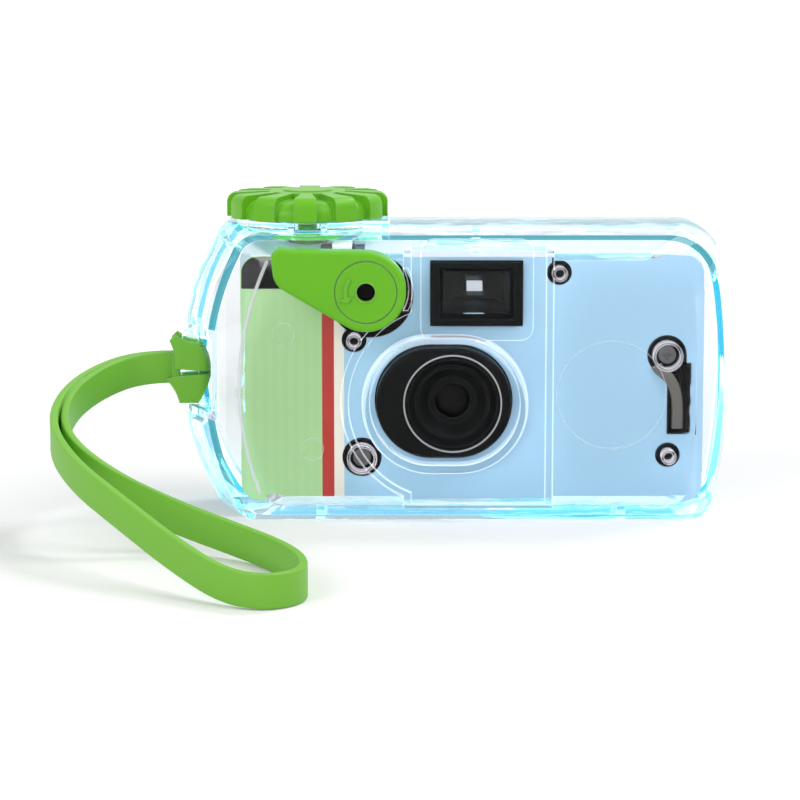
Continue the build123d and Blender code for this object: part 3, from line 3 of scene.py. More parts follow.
import bpy
import numpy as np
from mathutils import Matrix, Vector


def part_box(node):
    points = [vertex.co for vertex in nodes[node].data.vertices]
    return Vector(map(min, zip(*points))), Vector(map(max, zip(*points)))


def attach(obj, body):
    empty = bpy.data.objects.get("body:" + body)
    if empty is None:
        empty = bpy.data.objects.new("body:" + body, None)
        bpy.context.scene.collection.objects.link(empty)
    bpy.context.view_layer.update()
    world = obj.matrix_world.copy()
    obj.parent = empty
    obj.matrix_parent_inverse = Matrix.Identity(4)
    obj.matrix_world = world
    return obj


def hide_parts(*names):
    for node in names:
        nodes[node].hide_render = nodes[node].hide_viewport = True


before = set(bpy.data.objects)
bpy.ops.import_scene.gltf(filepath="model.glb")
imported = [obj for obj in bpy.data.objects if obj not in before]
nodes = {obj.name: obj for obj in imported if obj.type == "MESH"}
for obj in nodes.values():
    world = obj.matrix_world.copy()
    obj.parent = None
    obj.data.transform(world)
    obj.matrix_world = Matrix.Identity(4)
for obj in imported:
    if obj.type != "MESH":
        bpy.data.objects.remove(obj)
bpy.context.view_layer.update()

# The camera looks down a little at the front of the case, from arm's length and through a
# long lens, as for a catalogue picture.
eye = bpy.data.cameras.new("catalogue_view")
eye.lens = 133.8
eye.sensor_width = 36.0
eye.clip_start = 0.05
eye.clip_end = 40.0
eye_stand = bpy.data.objects.new("catalogue_view", eye)
bpy.context.scene.collection.objects.link(eye_stand)
eye_stand.location = (-0.0132, -0.6981, 0.1393)
look_down = 9.2
eye_stand.rotation_euler = (math.radians(90 - look_down), 0, 0)
bpy.context.scene.camera = eye_stand
bpy.context.scene.view_settings.view_transform = "Standard"

# The wrist strap is one flat band of soft green plastic in a loop, moulded with rounded
# edges. Both ends go under the hitch at the left end of the case.
# Its route is in millimetres, and belly_y moves it back to the depth of the strap lug.
strap_points = (
    (-67.2, 1.0, 34.0),
    (-75.0, 1.0, 34.0),
    (-84.5, -7.5, 32.0),
    (-90.8, -24.0, 28.9),
    (-91.6, -44.0, 24.6),
    (-84.5, -62.5, 19.6),
    (-72.5, -78.5, 14.2),
    (-60.5, -92.0, 8.2),
    (-50.0, -104.0, 4.4),
    (-41.0, -109.5, 3.9),
    (-33.0, -102.5, 3.8),
    (-33.5, -89.0, 3.8),
    (-39.0, -74.0, 3.8),
    (-49.0, -59.5, 4.4),
    (-63.0, -53.0, 8.2),
    (-77.2, -54.5, 15.2),
    (-88.4, -45.0, 22.2),
    (-89.8, -27.0, 27.6),
    (-84.5, -12.0, 31.4),
    (-75.0, -1.0, 34.0),
    (-67.2, -1.0, 34.0),
)
belly_y = 1.9
strap_width = 0.0074
strap_thickness = 0.0018
strap_line = bpy.data.curves.new("strap_line", "CURVE")
strap_line.dimensions = "3D"
strap_line.resolution_u = 16
strap_run = strap_line.splines.new("NURBS")
strap_run.points.add(len(strap_points) - 1)
for control, (x, y, z) in zip(strap_run.points, strap_points):
    control.co = (x / 1000, (y + belly_y) / 1000, z / 1000, 1)
strap_run.order_u = 3
strap_run.use_endpoint_u = True
strap_guide = bpy.data.objects.new("strap_line", strap_line)
bpy.context.scene.collection.objects.link(strap_guide)
bpy.context.view_layer.update()
line_mesh = bpy.data.meshes.new_from_object(strap_guide)
strap_path = np.array([vertex.co[:] for vertex in line_mesh.vertices])
bpy.data.meshes.remove(line_mesh)
bpy.data.objects.remove(strap_guide)


def rounded_section(width, thickness, corner, steps):
    """A rectangle with round corners: each corner is a quarter circle, the four joined in order."""
    turn = np.linspace(0, np.pi / 2, steps)
    parts = []
    for quarter, (side, face) in enumerate(((1, 1), (-1, 1), (-1, -1), (1, -1))):
        angle = turn + quarter * np.pi / 2
        across = side * (width / 2 - corner) + corner * np.cos(angle)
        through = face * (thickness / 2 - corner) + corner * np.sin(angle)
        parts.append(np.stack([across, through], axis=1))
    return np.concatenate(parts)


def band_along(path, section, upright):
    """A section carried along a path: its first axis follows upright, its second the band's normal."""
    ahead = np.gradient(path, axis=0)
    ahead /= np.linalg.norm(ahead, axis=1, keepdims=True)
    side = np.cross(upright, ahead)
    side /= np.linalg.norm(side, axis=1, keepdims=True)
    rise = np.cross(ahead, side)
    along_rise = section[None, :, :1] * rise[:, None, :]
    along_side = section[None, :, 1:] * side[:, None, :]
    return path[:, None, :] + along_rise + along_side


def skin_of_rings(name, rings):
    """A closed skin over a stack of equal rings: quads between rings, one face at each end."""
    count, around = rings.shape[:2]
    here = np.arange(count * around).reshape(count, around)
    beside = np.roll(here, -1, axis=1)
    quads = np.stack([here[:-1], beside[:-1], beside[1:], here[1:]], axis=-1).reshape(-1, 4)
    faces = [tuple(quad) for quad in quads.tolist()]
    faces.append(tuple(here[0][::-1].tolist()))
    faces.append(tuple(here[-1].tolist()))
    mesh = bpy.data.meshes.new(name)
    mesh.from_pydata(rings.reshape(-1, 3).tolist(), [], faces)
    mesh.update()
    piece = bpy.data.objects.new(name, mesh)
    bpy.context.scene.collection.objects.link(piece)
    mesh.calc_loop_triangles()
    places = np.empty(3 * len(mesh.vertices))
    mesh.vertices.foreach_get("co", places)
    triangles = np.empty(3 * len(mesh.loop_triangles), dtype=int)
    mesh.loop_triangles.foreach_get("vertices", triangles)
    corners = places.reshape(-1, 3)[triangles].reshape(-1, 3, 3)
    volume = np.einsum("ij,ij->i", corners[:, 0], np.cross(corners[:, 1], corners[:, 2])).sum()
    if volume < 0:
        mesh.flip_normals()
    return piece


def smooth(piece, angle):
    """Smooth faces, with the edges sharper than an angle split from each other."""
    piece.data.polygons.foreach_set("use_smooth", [True] * len(piece.data.polygons))
    weld = piece.modifiers.new("weld", "WELD")
    weld.merge_threshold = 0.00001
    split = piece.modifiers.new("crease", "EDGE_SPLIT")
    split.split_angle = math.radians(angle)


def join(tree, *links):
    """Link pairs of sockets, each written as node, output, node, input."""
    for start, output, end, entry in links:
        tree.links.new(start.outputs[output], end.inputs[entry])


def arithmetic(tree, operation, second=None):
    """A Math node for one operation, with its second value if that is fixed."""
    node = tree.nodes.new("ShaderNodeMath")
    node.operation = operation
    if second is not None:
        node.inputs[1].default_value = second
    return node


def remap(tree, given, wanted):
    """A Map Range node that takes one span of values to another."""
    node = tree.nodes.new("ShaderNodeMapRange")
    for end, value in zip(("From Min", "From Max", "To Min", "To Max"), (*given, *wanted)):
        node.inputs[end].default_value = value
    return node


def colour_mix(tree, first=None, second=None, blend="MIX"):
    """A Mix node for colours, with the colours that are fixed."""
    node = tree.nodes.new("ShaderNodeMix")
    node.data_type = "RGBA"
    node.blend_type = blend
    for entry, colour in (("A", first), ("B", second)):
        if colour is not None:
            node.inputs[entry].default_value = colour
    return node


def mould_skin_group():
    """Skin of a moulded piece: fine grain, a slow drift of colour, and edges painted lighter, a painted
    highlight.

    The edge mask is one less the cosine between the true normal and a rounded one."""
    tree = bpy.data.node_groups.new("mould_skin", "ShaderNodeTree")
    for name, kind in (
        ("Colour", "NodeSocketColor"),
        ("Drift", "NodeSocketFloat"),
        ("Edge Light", "NodeSocketFloat"),
        ("Edge Round", "NodeSocketFloat"),
        ("Grain Size", "NodeSocketFloat"),
        ("Grain Depth", "NodeSocketFloat"),
    ):
        tree.interface.new_socket(name, in_out="INPUT", socket_type=kind)
    tree.interface.new_socket("Colour", in_out="OUTPUT", socket_type="NodeSocketColor")
    tree.interface.new_socket("Normal", in_out="OUTPUT", socket_type="NodeSocketVector")
    given = tree.nodes.new("NodeGroupInput")
    result = tree.nodes.new("NodeGroupOutput")
    place = tree.nodes.new("ShaderNodeTexCoord")
    grain = tree.nodes.new("ShaderNodeTexNoise")
    grain.inputs["Detail"].default_value = 3
    drift = tree.nodes.new("ShaderNodeTexNoise")
    drift.inputs["Scale"].default_value = 45
    round_edge = tree.nodes.new("ShaderNodeBevel")
    round_edge.samples = 4
    bump = tree.nodes.new("ShaderNodeBump")
    bump.inputs["Strength"].default_value = 0.5
    true_side = tree.nodes.new("ShaderNodeNewGeometry")
    turned = tree.nodes.new("ShaderNodeVectorMath")
    turned.operation = "DOT_PRODUCT"
    edge = remap(tree, (1.0, 0.8), (0, 1))
    darker = tree.nodes.new("ShaderNodeHueSaturation")
    spread = arithmetic(tree, "MULTIPLY_ADD")
    centred = arithmetic(tree, "MULTIPLY_ADD", 2)
    centred.inputs[2].default_value = -1
    spread.inputs[2].default_value = 1
    lighter = colour_mix(tree, second=(1, 1, 1, 1))
    amount = arithmetic(tree, "MULTIPLY")
    join(
        tree,
        (place, "Object", grain, "Vector"),
        (place, "Object", drift, "Vector"),
        (given, "Grain Size", grain, "Scale"),
        (given, "Grain Depth", bump, "Distance"),
        (given, "Edge Round", round_edge, "Radius"),
        (grain, "Fac", bump, "Height"),
        (round_edge, "Normal", bump, "Normal"),
        (bump, "Normal", result, "Normal"),
        (true_side, "Normal", turned, 0),
        (round_edge, "Normal", turned, 1),
        (turned, "Value", edge, "Value"),
        (edge, "Result", amount, 0),
        (given, "Edge Light", amount, 1),
        (drift, "Fac", centred, 0),
        (centred, "Value", spread, 0),
        (given, "Drift", spread, 1),
        (spread, "Value", darker, "Value"),
        (given, "Colour", darker, "Color"),
        (darker, "Color", lighter, "A"),
        (amount, "Value", lighter, "Factor"),
        (lighter, "Result", result, "Colour"),
    )
    return tree


mould_skin = mould_skin_group()


def moulded(name, colour, roughness, drift=0.05, edge_light=0.15, size=1500, depth=0.00001):
    """Opaque moulded plastic or rubber in one colour, its edges painted lighter by edge_light as a painted
    highlight.
    """
    material = bpy.data.materials.new(name)
    material.use_nodes = True
    tree = material.node_tree
    shader = tree.nodes["Principled BSDF"]
    shader.inputs["Roughness"].default_value = roughness
    skin = tree.nodes.new("ShaderNodeGroup")
    skin.node_tree = mould_skin
    skin.inputs["Colour"].default_value = (*colour, 1)
    skin.inputs["Drift"].default_value = drift
    skin.inputs["Edge Light"].default_value = edge_light
    skin.inputs["Edge Round"].default_value = 0.0003
    skin.inputs["Grain Size"].default_value = size
    skin.inputs["Grain Depth"].default_value = depth
    join(tree, (skin, "Colour", shader, "Base Color"), (skin, "Normal", shader, "Normal"))
    return material


strap_green = moulded("strap_green", (0.17, 0.47, 0.03), 0.5, edge_light=0.25, size=900, depth=0.00002)
strap_section = rounded_section(strap_width, strap_thickness, 0.0004, 4)
to_the_top = np.array([0.0, 0.0, 1.0])
strap = skin_of_rings("wrist_strap_band", band_along(strap_path, strap_section, to_the_top))
smooth(strap, 40)
strap.data.materials.append(strap_green)
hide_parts("wrist_strap")
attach(strap, "case_and_unit")


# The hitch is the same band, folded over the bar of the case in two flared wraps that
# close on each other.
def dress(name, material, angle=35):
    """Give a CAD node its material and smooth shading."""
    piece = nodes[name]
    piece.data.materials.clear()
    piece.data.materials.append(material)
    smooth(piece, angle)
    return piece


dress("strap_hitch", strap_green, 40)


# The two halves of the case are injection moulded in clear polycarbonate, polished. A
# faint blue-green tint gathers where light runs along the walls.
def mould_flow_group():
    """Faint upright waves that the mould leaves in clear plastic, as a bumped normal."""
    tree = bpy.data.node_groups.new("mould_flow", "ShaderNodeTree")
    for name in ("Wave Size", "Wave Depth"):
        tree.interface.new_socket(name, in_out="INPUT", socket_type="NodeSocketFloat")
    tree.interface.new_socket("Normal", in_out="OUTPUT", socket_type="NodeSocketVector")
    given = tree.nodes.new("NodeGroupInput")
    result = tree.nodes.new("NodeGroupOutput")
    place = tree.nodes.new("ShaderNodeTexCoord")
    upright = tree.nodes.new("ShaderNodeMapping")
    upright.inputs["Scale"].default_value = (1, 1, 0.25)
    wave = tree.nodes.new("ShaderNodeTexNoise")
    wave.inputs["Detail"].default_value = 1
    bump = tree.nodes.new("ShaderNodeBump")
    bump.inputs["Strength"].default_value = 0.3
    join(
        tree,
        (place, "Object", upright, "Vector"),
        (upright, "Vector", wave, "Vector"),
        (given, "Wave Size", wave, "Scale"),
        (given, "Wave Depth", bump, "Distance"),
        (wave, "Fac", bump, "Height"),
        (bump, "Normal", result, "Normal"),
    )
    return tree


mould_flow = mould_flow_group()


def clear_plastic(name, tint, index, wave_size, wave_depth, shadow):
    """Clear plastic that bends light, and lets most of a shadow ray through."""
    material = bpy.data.materials.new(name)
    material.use_nodes = True
    tree = material.node_tree
    shader = tree.nodes["Principled BSDF"]
    shader.inputs["Base Color"].default_value = (*tint, 1)
    shader.inputs["Roughness"].default_value = 0.01
    shader.inputs["IOR"].default_value = index
    shader.inputs["Transmission Weight"].default_value = 1.0
    flow = tree.nodes.new("ShaderNodeGroup")
    flow.node_tree = mould_flow
    flow.inputs["Wave Size"].default_value = wave_size
    flow.inputs["Wave Depth"].default_value = wave_depth
    rays = tree.nodes.new("ShaderNodeLightPath")
    clear = tree.nodes.new("ShaderNodeBsdfTransparent")
    clear.inputs["Color"].default_value = (*shadow, 1)
    either = tree.nodes.new("ShaderNodeMixShader")
    join(
        tree,
        (flow, "Normal", shader, "Normal"),
        (rays, "Is Shadow Ray", either, "Fac"),
        (shader, "BSDF", either, 1),
        (clear, "BSDF", either, 2),
        (either, "Shader", tree.nodes["Material Output"], "Surface"),
    )
    return material


case_clear = clear_plastic("case_clear", (0.99, 0.99, 1.0), 1.45, 110, 0.0004, (0.96, 0.98, 0.985))
tree = case_clear.node_tree
shader = tree.nodes["Principled BSDF"]
place = tree.nodes.new("ShaderNodeTexCoord")
axes = tree.nodes.new("ShaderNodeSeparateXYZ")
facing = arithmetic(tree, "ABSOLUTE")
# The flat front lets what lies behind it show through with only a trace of shine. The
# walls behind the label's face stay whole.
panel_alpha = 0.06
flat_panel = remap(tree, (0.93, 0.99), (1.0, panel_alpha))
spot = tree.nodes.new("ShaderNodeSeparateXYZ")
label_low, label_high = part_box("printed_label")
behind = arithmetic(tree, "GREATER_THAN", label_low[1] + 0.001)
solid = arithmetic(tree, "MAXIMUM")
# Every moulded edge is slightly round and is given a painted highlight, a thin white line that glows: the
# mask is where the rounded normal leaves the true one.
round_edge = tree.nodes.new("ShaderNodeBevel")
round_edge.samples = 4
round_edge.inputs["Radius"].default_value = 0.0004
true_side = tree.nodes.new("ShaderNodeNewGeometry")
turned = tree.nodes.new("ShaderNodeVectorMath")
turned.operation = "DOT_PRODUCT"
edge_line = remap(tree, (0.99, 0.88), (0, 1))
alpha = arithmetic(tree, "MAXIMUM")
# Rays that have bounced more than five times inside the walls get a painted white and teal glow, and the
# side walls a faint painted white glow. The teal stands in for light from the gasket that runs all round in
# the walls.
rays = tree.nodes.new("ShaderNodeLightPath")
bounces_kept_plain = 5
teal_light = 0.75
far_light = 0.08
wall_light = 0.03
port_light = 0.22
line_light = 0.5
deep_bounce = arithmetic(tree, "GREATER_THAN", bounces_kept_plain)
walls = remap(tree, (0.9, 0.5), (0, wall_light))
glow = arithmetic(tree, "MULTIPLY_ADD", far_light)
lit_edge = arithmetic(tree, "MULTIPLY_ADD", line_light)
# The walls of the ports, posts and steps in front of the film unit are seen end on and are given a painted
# white glow too.
within = {}
for axis, name in ((0, "X"), (2, "Z")):
    between = arithmetic(tree, "COMPARE", (label_low[axis] + label_high[axis]) / 2)
    between.inputs[2].default_value = (label_high[axis] - label_low[axis]) / 2 - 0.001
    within[name] = between
in_label = arithmetic(tree, "MULTIPLY")
ahead_of_it = arithmetic(tree, "SUBTRACT")
port_wall = arithmetic(tree, "MULTIPLY")
steep = remap(tree, (0.9, 0.5), (0, port_light))
port_glow = arithmetic(tree, "ADD")
white_light = colour_mix(tree, first=(0, 0, 0, 1), second=(0.90, 0.87, 0.96, 1))
teal_share = arithmetic(tree, "MULTIPLY", teal_light)
with_teal = colour_mix(tree, second=(0.10, 0.56, 0.66, 1), blend="ADD")
shader.inputs["Emission Strength"].default_value = 1.0
thick = tree.nodes.new("ShaderNodeVolumeAbsorption")
thick.inputs["Color"].default_value = (0.62, 0.93, 0.96, 1)
thick.inputs["Density"].default_value = 16
join(
    tree,
    (place, "Normal", axes, "Vector"),
    (axes, "Y", facing, 0),
    (facing, "Value", flat_panel, "Value"),
    (place, "Object", spot, "Vector"),
    (spot, "Y", behind, 0),
    (behind, "Value", solid, 0),
    (flat_panel, "Result", solid, 1),
    (true_side, "Normal", turned, 0),
    (round_edge, "Normal", turned, 1),
    (turned, "Value", edge_line, "Value"),
    (solid, "Value", alpha, 0),
    (edge_line, "Result", alpha, 1),
    (alpha, "Value", shader, "Alpha"),
    (facing, "Value", walls, "Value"),
    (rays, "Ray Depth", deep_bounce, 0),
    (deep_bounce, "Value", glow, 0),
    (walls, "Result", glow, 2),
    (edge_line, "Result", lit_edge, 0),
    (spot, "X", within["X"], 0),
    (spot, "Z", within["Z"], 0),
    (within["X"], "Value", in_label, 0),
    (within["Z"], "Value", in_label, 1),
    (in_label, "Value", ahead_of_it, 0),
    (behind, "Value", ahead_of_it, 1),
    (facing, "Value", steep, "Value"),
    (ahead_of_it, "Value", port_wall, 0),
    (steep, "Result", port_wall, 1),
    (port_wall, "Value", port_glow, 0),
    (glow, "Value", port_glow, 1),
    (port_glow, "Value", lit_edge, 2),
    (lit_edge, "Value", white_light, "Factor"),
    (deep_bounce, "Value", teal_share, 0),
    (teal_share, "Value", with_teal, "Factor"),
    (white_light, "Result", with_teal, "A"),
    (with_teal, "Result", shader, "Emission Color"),
    (thick, "Volume", tree.nodes["Material Output"], "Volume"),
)
dress("front_shell", case_clear)
dress("rear_shell", case_clear)

# The gasket between the halves and the two shaft seals are soft teal rubber. They carry a faint painted
# teal glow, standing in for light that the clear walls lead to them.
seal_teal = moulded("seal_teal", (0.0, 0.26, 0.36), 0.5, edge_light=0.1, size=1200, depth=0.00002)
shader = seal_teal.node_tree.nodes["Principled BSDF"]
shader.inputs["Emission Color"].default_value = (0.0, 0.36, 0.52, 1)
shader.inputs["Emission Strength"].default_value = 0.6
for name in ("case_gasket", "knob_seal", "lever_seal"):
    dress(name, seal_teal)

# The winding knob, its shaft and the shutter lever are moulded in one bright green plastic
# with a satin skin.
bright_green = moulded("bright_green", (0.135, 0.47, 0.010), 0.38, edge_light=0.22)
bright_green.node_tree.nodes["Principled BSDF"].inputs["Specular IOR Level"].default_value = 0.3
for name in ("advance_knob", "shutter_lever", "knob_shaft"):
    dress(name, bright_green)

# A thin curved arrow stands proud of the lever beside its hub, to show which way the lever
# is pressed.
arrow_centre = np.array([-0.0210, 0.0550])
arrow_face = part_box("shutter_lever")[0][1]
arrow_radius = 0.0047
arrow_width = 0.0008
arrow_head_half = 2.2 * arrow_width
arrow_height = 0.0004
arrow_start = math.radians(140)
arrow_end = math.radians(212)
arrow_head = math.radians(16)


def arrow_rings(steps):
    """Sections of a flat bar bent round a centre; its width runs out to nothing over the head.

    A place on it is centre plus radius and angle, and each section is a rectangle across the bar."""
    angle = np.linspace(arrow_start, arrow_end, steps)
    to_tip = (arrow_end - angle) / arrow_head
    half = np.where(to_tip < 1, arrow_head_half * to_tip, arrow_width / 2)
    half = np.maximum(half, arrow_width / 20)
    across = np.stack([-half, half, half, -half], axis=1)
    reach = arrow_radius + across
    x = arrow_centre[0] + reach * np.cos(angle)[:, None]
    z = arrow_centre[1] + reach * np.sin(angle)[:, None]
    depth = np.array([arrow_height, arrow_height, -arrow_height, -arrow_height])
    y = np.broadcast_to(arrow_face - depth, x.shape)
    return np.stack([x, y, z], axis=2)


arrow = skin_of_rings("lever_arrow", arrow_rings(48))
arrow.data.materials.append(bright_green)
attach(arrow, "lever")


# A raised rim runs round the hole in the lever's hub.
def ring_line(name, centre, radius, half, face, body="case_and_unit"):
    """A thin round ring lying on a face: its small section is carried round a circle."""
    turn = np.linspace(0, 2 * np.pi, 97)
    section = rounded_section(2 * half, 2 * half, 0.4 * half, 3)
    reach = radius + section[None, :, 0]
    through = face + np.broadcast_to(section[None, :, 1], (turn.size, len(section)))
    x = centre[0] + reach * np.cos(turn)[:, None]
    z = centre[1] + reach * np.sin(turn)[:, None]
    ring = skin_of_rings(name, np.stack([x, through, z], axis=2))
    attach(ring, body)
    return ring


rim_radius = 0.0023
rim_half = 0.0002
lever_rim = ring_line("lever_rim", arrow_centre, rim_radius, rim_half, arrow_face, "lever")
lever_rim.data.materials.append(bright_green)

# The crank behind the panel and the small wheels are white acetal.
milky = moulded("milky_acetal", (0.70, 0.72, 0.72), 0.45, drift=0.03)
for name in ("lever_arm", "thumbwheel", "frame_counter", "sprocket_wheel"):
    dress(name, milky)

# The film unit's covers, bezels, latch, chassis and spools are black polystyrene, and so is
# the lever's shaft.
black = moulded(
    "black_polystyrene", (0.004, 0.004, 0.0045), 0.35, drift=0.2, edge_light=0.04, size=2500, depth=0.000002
)
black.node_tree.nodes["Principled BSDF"].inputs["Specular IOR Level"].default_value = 0.06
for name in (
    "front_cover",
    "rear_cover",
    "cover_latch",
    "main_chassis",
    "cartridge_spool",
    "supply_spool",
    "release_button",
    "trigger_lever",
    "shutter_plate",
    "lens_shield",
    "lens_retainer",
    "finder_frame",
    "lever_shaft",
):
    dress(name, black)


# Clips, springs, the screws and the film can are bright steel. The shutter blade is the
# same sheet, blackened.
def rolled_steel(name, colour, roughness):
    """Rolled steel: fine streaks along the roll change how sharply it shines."""
    material = bpy.data.materials.new(name)
    material.use_nodes = True
    tree = material.node_tree
    shader = tree.nodes["Principled BSDF"]
    shader.inputs["Base Color"].default_value = (*colour, 1)
    shader.inputs["Metallic"].default_value = 1.0
    place = tree.nodes.new("ShaderNodeTexCoord")
    stretch = tree.nodes.new("ShaderNodeMapping")
    stretch.inputs["Scale"].default_value = (1, 1, 14)
    streak = tree.nodes.new("ShaderNodeTexNoise")
    streak.inputs["Scale"].default_value = 300
    gloss = remap(tree, (0, 1), (roughness * 0.7, roughness * 1.3))
    join(
        tree,
        (place, "Object", stretch, "Vector"),
        (stretch, "Vector", streak, "Vector"),
        (streak, "Fac", gloss, "Value"),
        (gloss, "Result", shader, "Roughness"),
    )
    return material


steel = rolled_steel("bright_steel", (0.55, 0.55, 0.56), 0.25)
for name in ("knob_clip", "lever_clip", "lever_spring", "shutter_spring", "film_cartridge"):
    dress(name, steel)
dress("cover_screws", rolled_steel("zinc_screw", (0.12, 0.12, 0.12), 0.4))
dress("shutter_blade", rolled_steel("black_steel", (0.02, 0.02, 0.022), 0.4))

# The film is dark brown with a gloss of its own, on the spool and across the gate.
film_brown = moulded(
    "film_brown", (0.05, 0.03, 0.025), 0.22, drift=0.1, edge_light=0.0, size=3000, depth=0.000005
)
dress("film_strip", film_brown)
dress("film_roll", film_brown)

# A thin pale ring round the lens bezel is a painted highlight on the edge of its face.
lens_low, lens_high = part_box("lens_element")
lens_axis = (np.array(lens_low) + np.array(lens_high))[[0, 2]] / 2
bezel_radius = 0.0113
bezel_half = 0.00016
bezel_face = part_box("lens_shield")[0][1]
bezel_line = ring_line("bezel_line", lens_axis, bezel_radius, bezel_half, bezel_face)
bezel_line.data.materials.append(moulded("bezel_highlight", (0.45, 0.45, 0.46), 0.4, depth=0.000002))


# Gates and ejector pins have left faint rings in the clear front: a large one at the right
# and small ones over the green field.
def front_face(x, z):
    """The place on the outer face of the front shell straight in front of a point."""
    _, place, _, _ = nodes["front_shell"].ray_cast((x, -0.5, z), (0, 1, 0))
    return place[:]


mould_mark = moulded("mould_mark", (0.80, 0.84, 0.90), 0.2, depth=0.000002)
mould_mark.node_tree.nodes["Principled BSDF"].inputs["Alpha"].default_value = 0.2
bpy.context.view_layer.update()
mould_mark_places = ((0.0359, 0.0303, 0.0126), (-0.0402, 0.0445, 0.0026), (-0.0336, 0.0175, 0.0026))
mark_half = 0.00014
for number, (x, z, radius) in enumerate(mould_mark_places, start=1):
    mark = ring_line(f"mould_mark_{number}", (x, z), radius, mark_half, front_face(x, z)[1])
    mark.data.materials.append(mould_mark)

# The latch's spring arm curls out from under the post at the right and runs down over the
# black bar. It is dark plastic, polished by the mould.
arm_route = (
    (0.0466, 0.0365),
    (0.0478, 0.0349),
    (0.0494, 0.0337),
    (0.0507, 0.0316),
    (0.0514, 0.0285),
    (0.0516, 0.0252),
    (0.0516, 0.0216),
)
to_the_front = np.array([0.0, -1.0, 0.0])
arm_lift = 0.0002
arm_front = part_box("cover_latch")[0][1] - arm_lift
arm_share = np.linspace(0, 1, 40)
arm_given = np.linspace(0, 1, len(arm_route))
arm_x, arm_z = (np.polyval(np.polyfit(arm_given, axis, 4), arm_share) for axis in zip(*arm_route))
arm_path = np.stack([arm_x, np.full(arm_share.size, arm_front), arm_z], axis=1)
arm_section = rounded_section(0.0010, 0.0026, 0.0004, 5)
latch_arm = skin_of_rings("latch_arm", band_along(arm_path, arm_section, to_the_front))
smooth(latch_arm, 50)
# Its edges are painted much lighter, a painted highlight.
polished_arm = moulded("polished_arm", (0.13, 0.115, 0.105), 0.25, edge_light=0.5, depth=0.000002)
latch_arm.data.materials.append(polished_arm)
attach(latch_arm, "case_and_unit")

# The front of the case turns back to the left end in one long curved shoulder. A pale strip laid along its
# edge over the green field is a painted highlight.
shoulder_heights = np.linspace(0.007, 0.0615, 40)
seen_heights = (0.0629, 0.0431, 0.0059)
seen_places = (-0.0431, -0.0495, -0.0454)
shoulder_fit = np.polyfit(seen_heights, seen_places, 2)
shoulder_places = zip(np.polyval(shoulder_fit, shoulder_heights), shoulder_heights)
shoulder_path = np.array([front_face(x, z) for x, z in shoulder_places])
shoulder_section = rounded_section(0.0003, 0.0008, 0.0001, 3)
shoulder_line = skin_of_rings("shoulder_line", band_along(shoulder_path, shoulder_section, to_the_front))
shoulder_highlight = moulded("shoulder_highlight", (0.88, 0.86, 0.92), 0.3, depth=0.000002)
shoulder_highlight.node_tree.nodes["Principled BSDF"].inputs["Alpha"].default_value = 0.6
shoulder_line.data.materials.append(shoulder_highlight)
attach(shoulder_line, "case_and_unit")

# A black plate with a small window sits before the eyepiece lens of the finder, a painted shade that
# darkens the inside of the finder.
mask_hole = np.array([0.0025, 0.0017])
mask_centre = np.array([0.0046, 0.0523])
mask_low, mask_high = (np.array(corner)[[0, 2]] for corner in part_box("finder_rear_lens"))
mask_gap = 0.0009
mask_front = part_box("finder_rear_lens")[0][1] - mask_gap
corner_signs = np.array([(-1, -1), (1, -1), (1, 1), (-1, 1)])
mask_outer = (mask_low + mask_high) / 2 + corner_signs * ((mask_high - mask_low) / 2 - 0.0001)
mask_inner = mask_centre + corner_signs * mask_hole
mask_thick = 0.0006
mask_loops = [(mask_outer, 0.0), (mask_inner, 0.0), (mask_inner, mask_thick), (mask_outer, mask_thick)]
# The plate is four loops of four corners, each joined to the next and the last to the first.
mask_points = np.concatenate([np.insert(loop, 1, mask_front + depth, axis=1) for loop, depth in mask_loops])
here = np.arange(16).reshape(4, 4)
beyond = np.roll(here, -1, axis=0)
mask_faces = np.stack([np.roll(here, -1, axis=1), np.roll(beyond, -1, axis=1), beyond, here], axis=-1)
shade_plate_mesh = bpy.data.meshes.new("eyepiece_shade_plate")
shade_plate_mesh.from_pydata(mask_points.tolist(), [], mask_faces.reshape(-1, 4).tolist())
shade_plate = bpy.data.objects.new("eyepiece_shade_plate", shade_plate_mesh)
bpy.context.scene.collection.objects.link(shade_plate)
shade_plate_mesh.materials.append(black)
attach(shade_plate, "case_and_unit")

# The taking lens is coated; its glass is tinted nearly black, a painted shade for the dark inside of the
# camera behind it. The finder's lenses are clear acrylic with a grey tint, a painted shade that darkens the
# finder's inside.
lens_dark_tint = clear_plastic("lens_dark_tint", (0.02, 0.022, 0.03), 1.18, 40, 0.00001, (0.5, 0.5, 0.5))
dress("lens_element", lens_dark_tint)
lens_clear = clear_plastic("lens_clear", (0.82, 0.83, 0.86), 1.2, 40, 0.00001, (0.9, 0.9, 0.9))
for name in ("finder_front_lens", "finder_rear_lens"):
    dress(name, lens_clear)

# The label is a printed sleeve round the film unit: a ribbed green field at the left, then
# a red and a cream stripe, and light blue over the rest. Its narrow sides are paper, painted a darker grey
# as a painted shade, since the lamps light the top strongly.
label_print = bpy.data.materials.new("label_print")
label_print.use_nodes = True
tree = label_print.node_tree
ink = tree.nodes["Principled BSDF"]
ink.inputs["Roughness"].default_value = 0.4
ink.inputs["Specular IOR Level"].default_value = 0.3
place = tree.nodes.new("ShaderNodeTexCoord")
axes = tree.nodes.new("ShaderNodeSeparateXYZ")
ramp_reach = 0.060
green_end = -0.0317
red_end = -0.0289
cream_end = -0.0263
field = remap(tree, (-ramp_reach, ramp_reach), (0, 1))
zones = tree.nodes.new("ShaderNodeValToRGB")
zones.color_ramp.interpolation = "CONSTANT"


def along_label(x):
    """Share of the ramp for a place along the label, in metres."""
    return (x + ramp_reach) / (2 * ramp_reach)


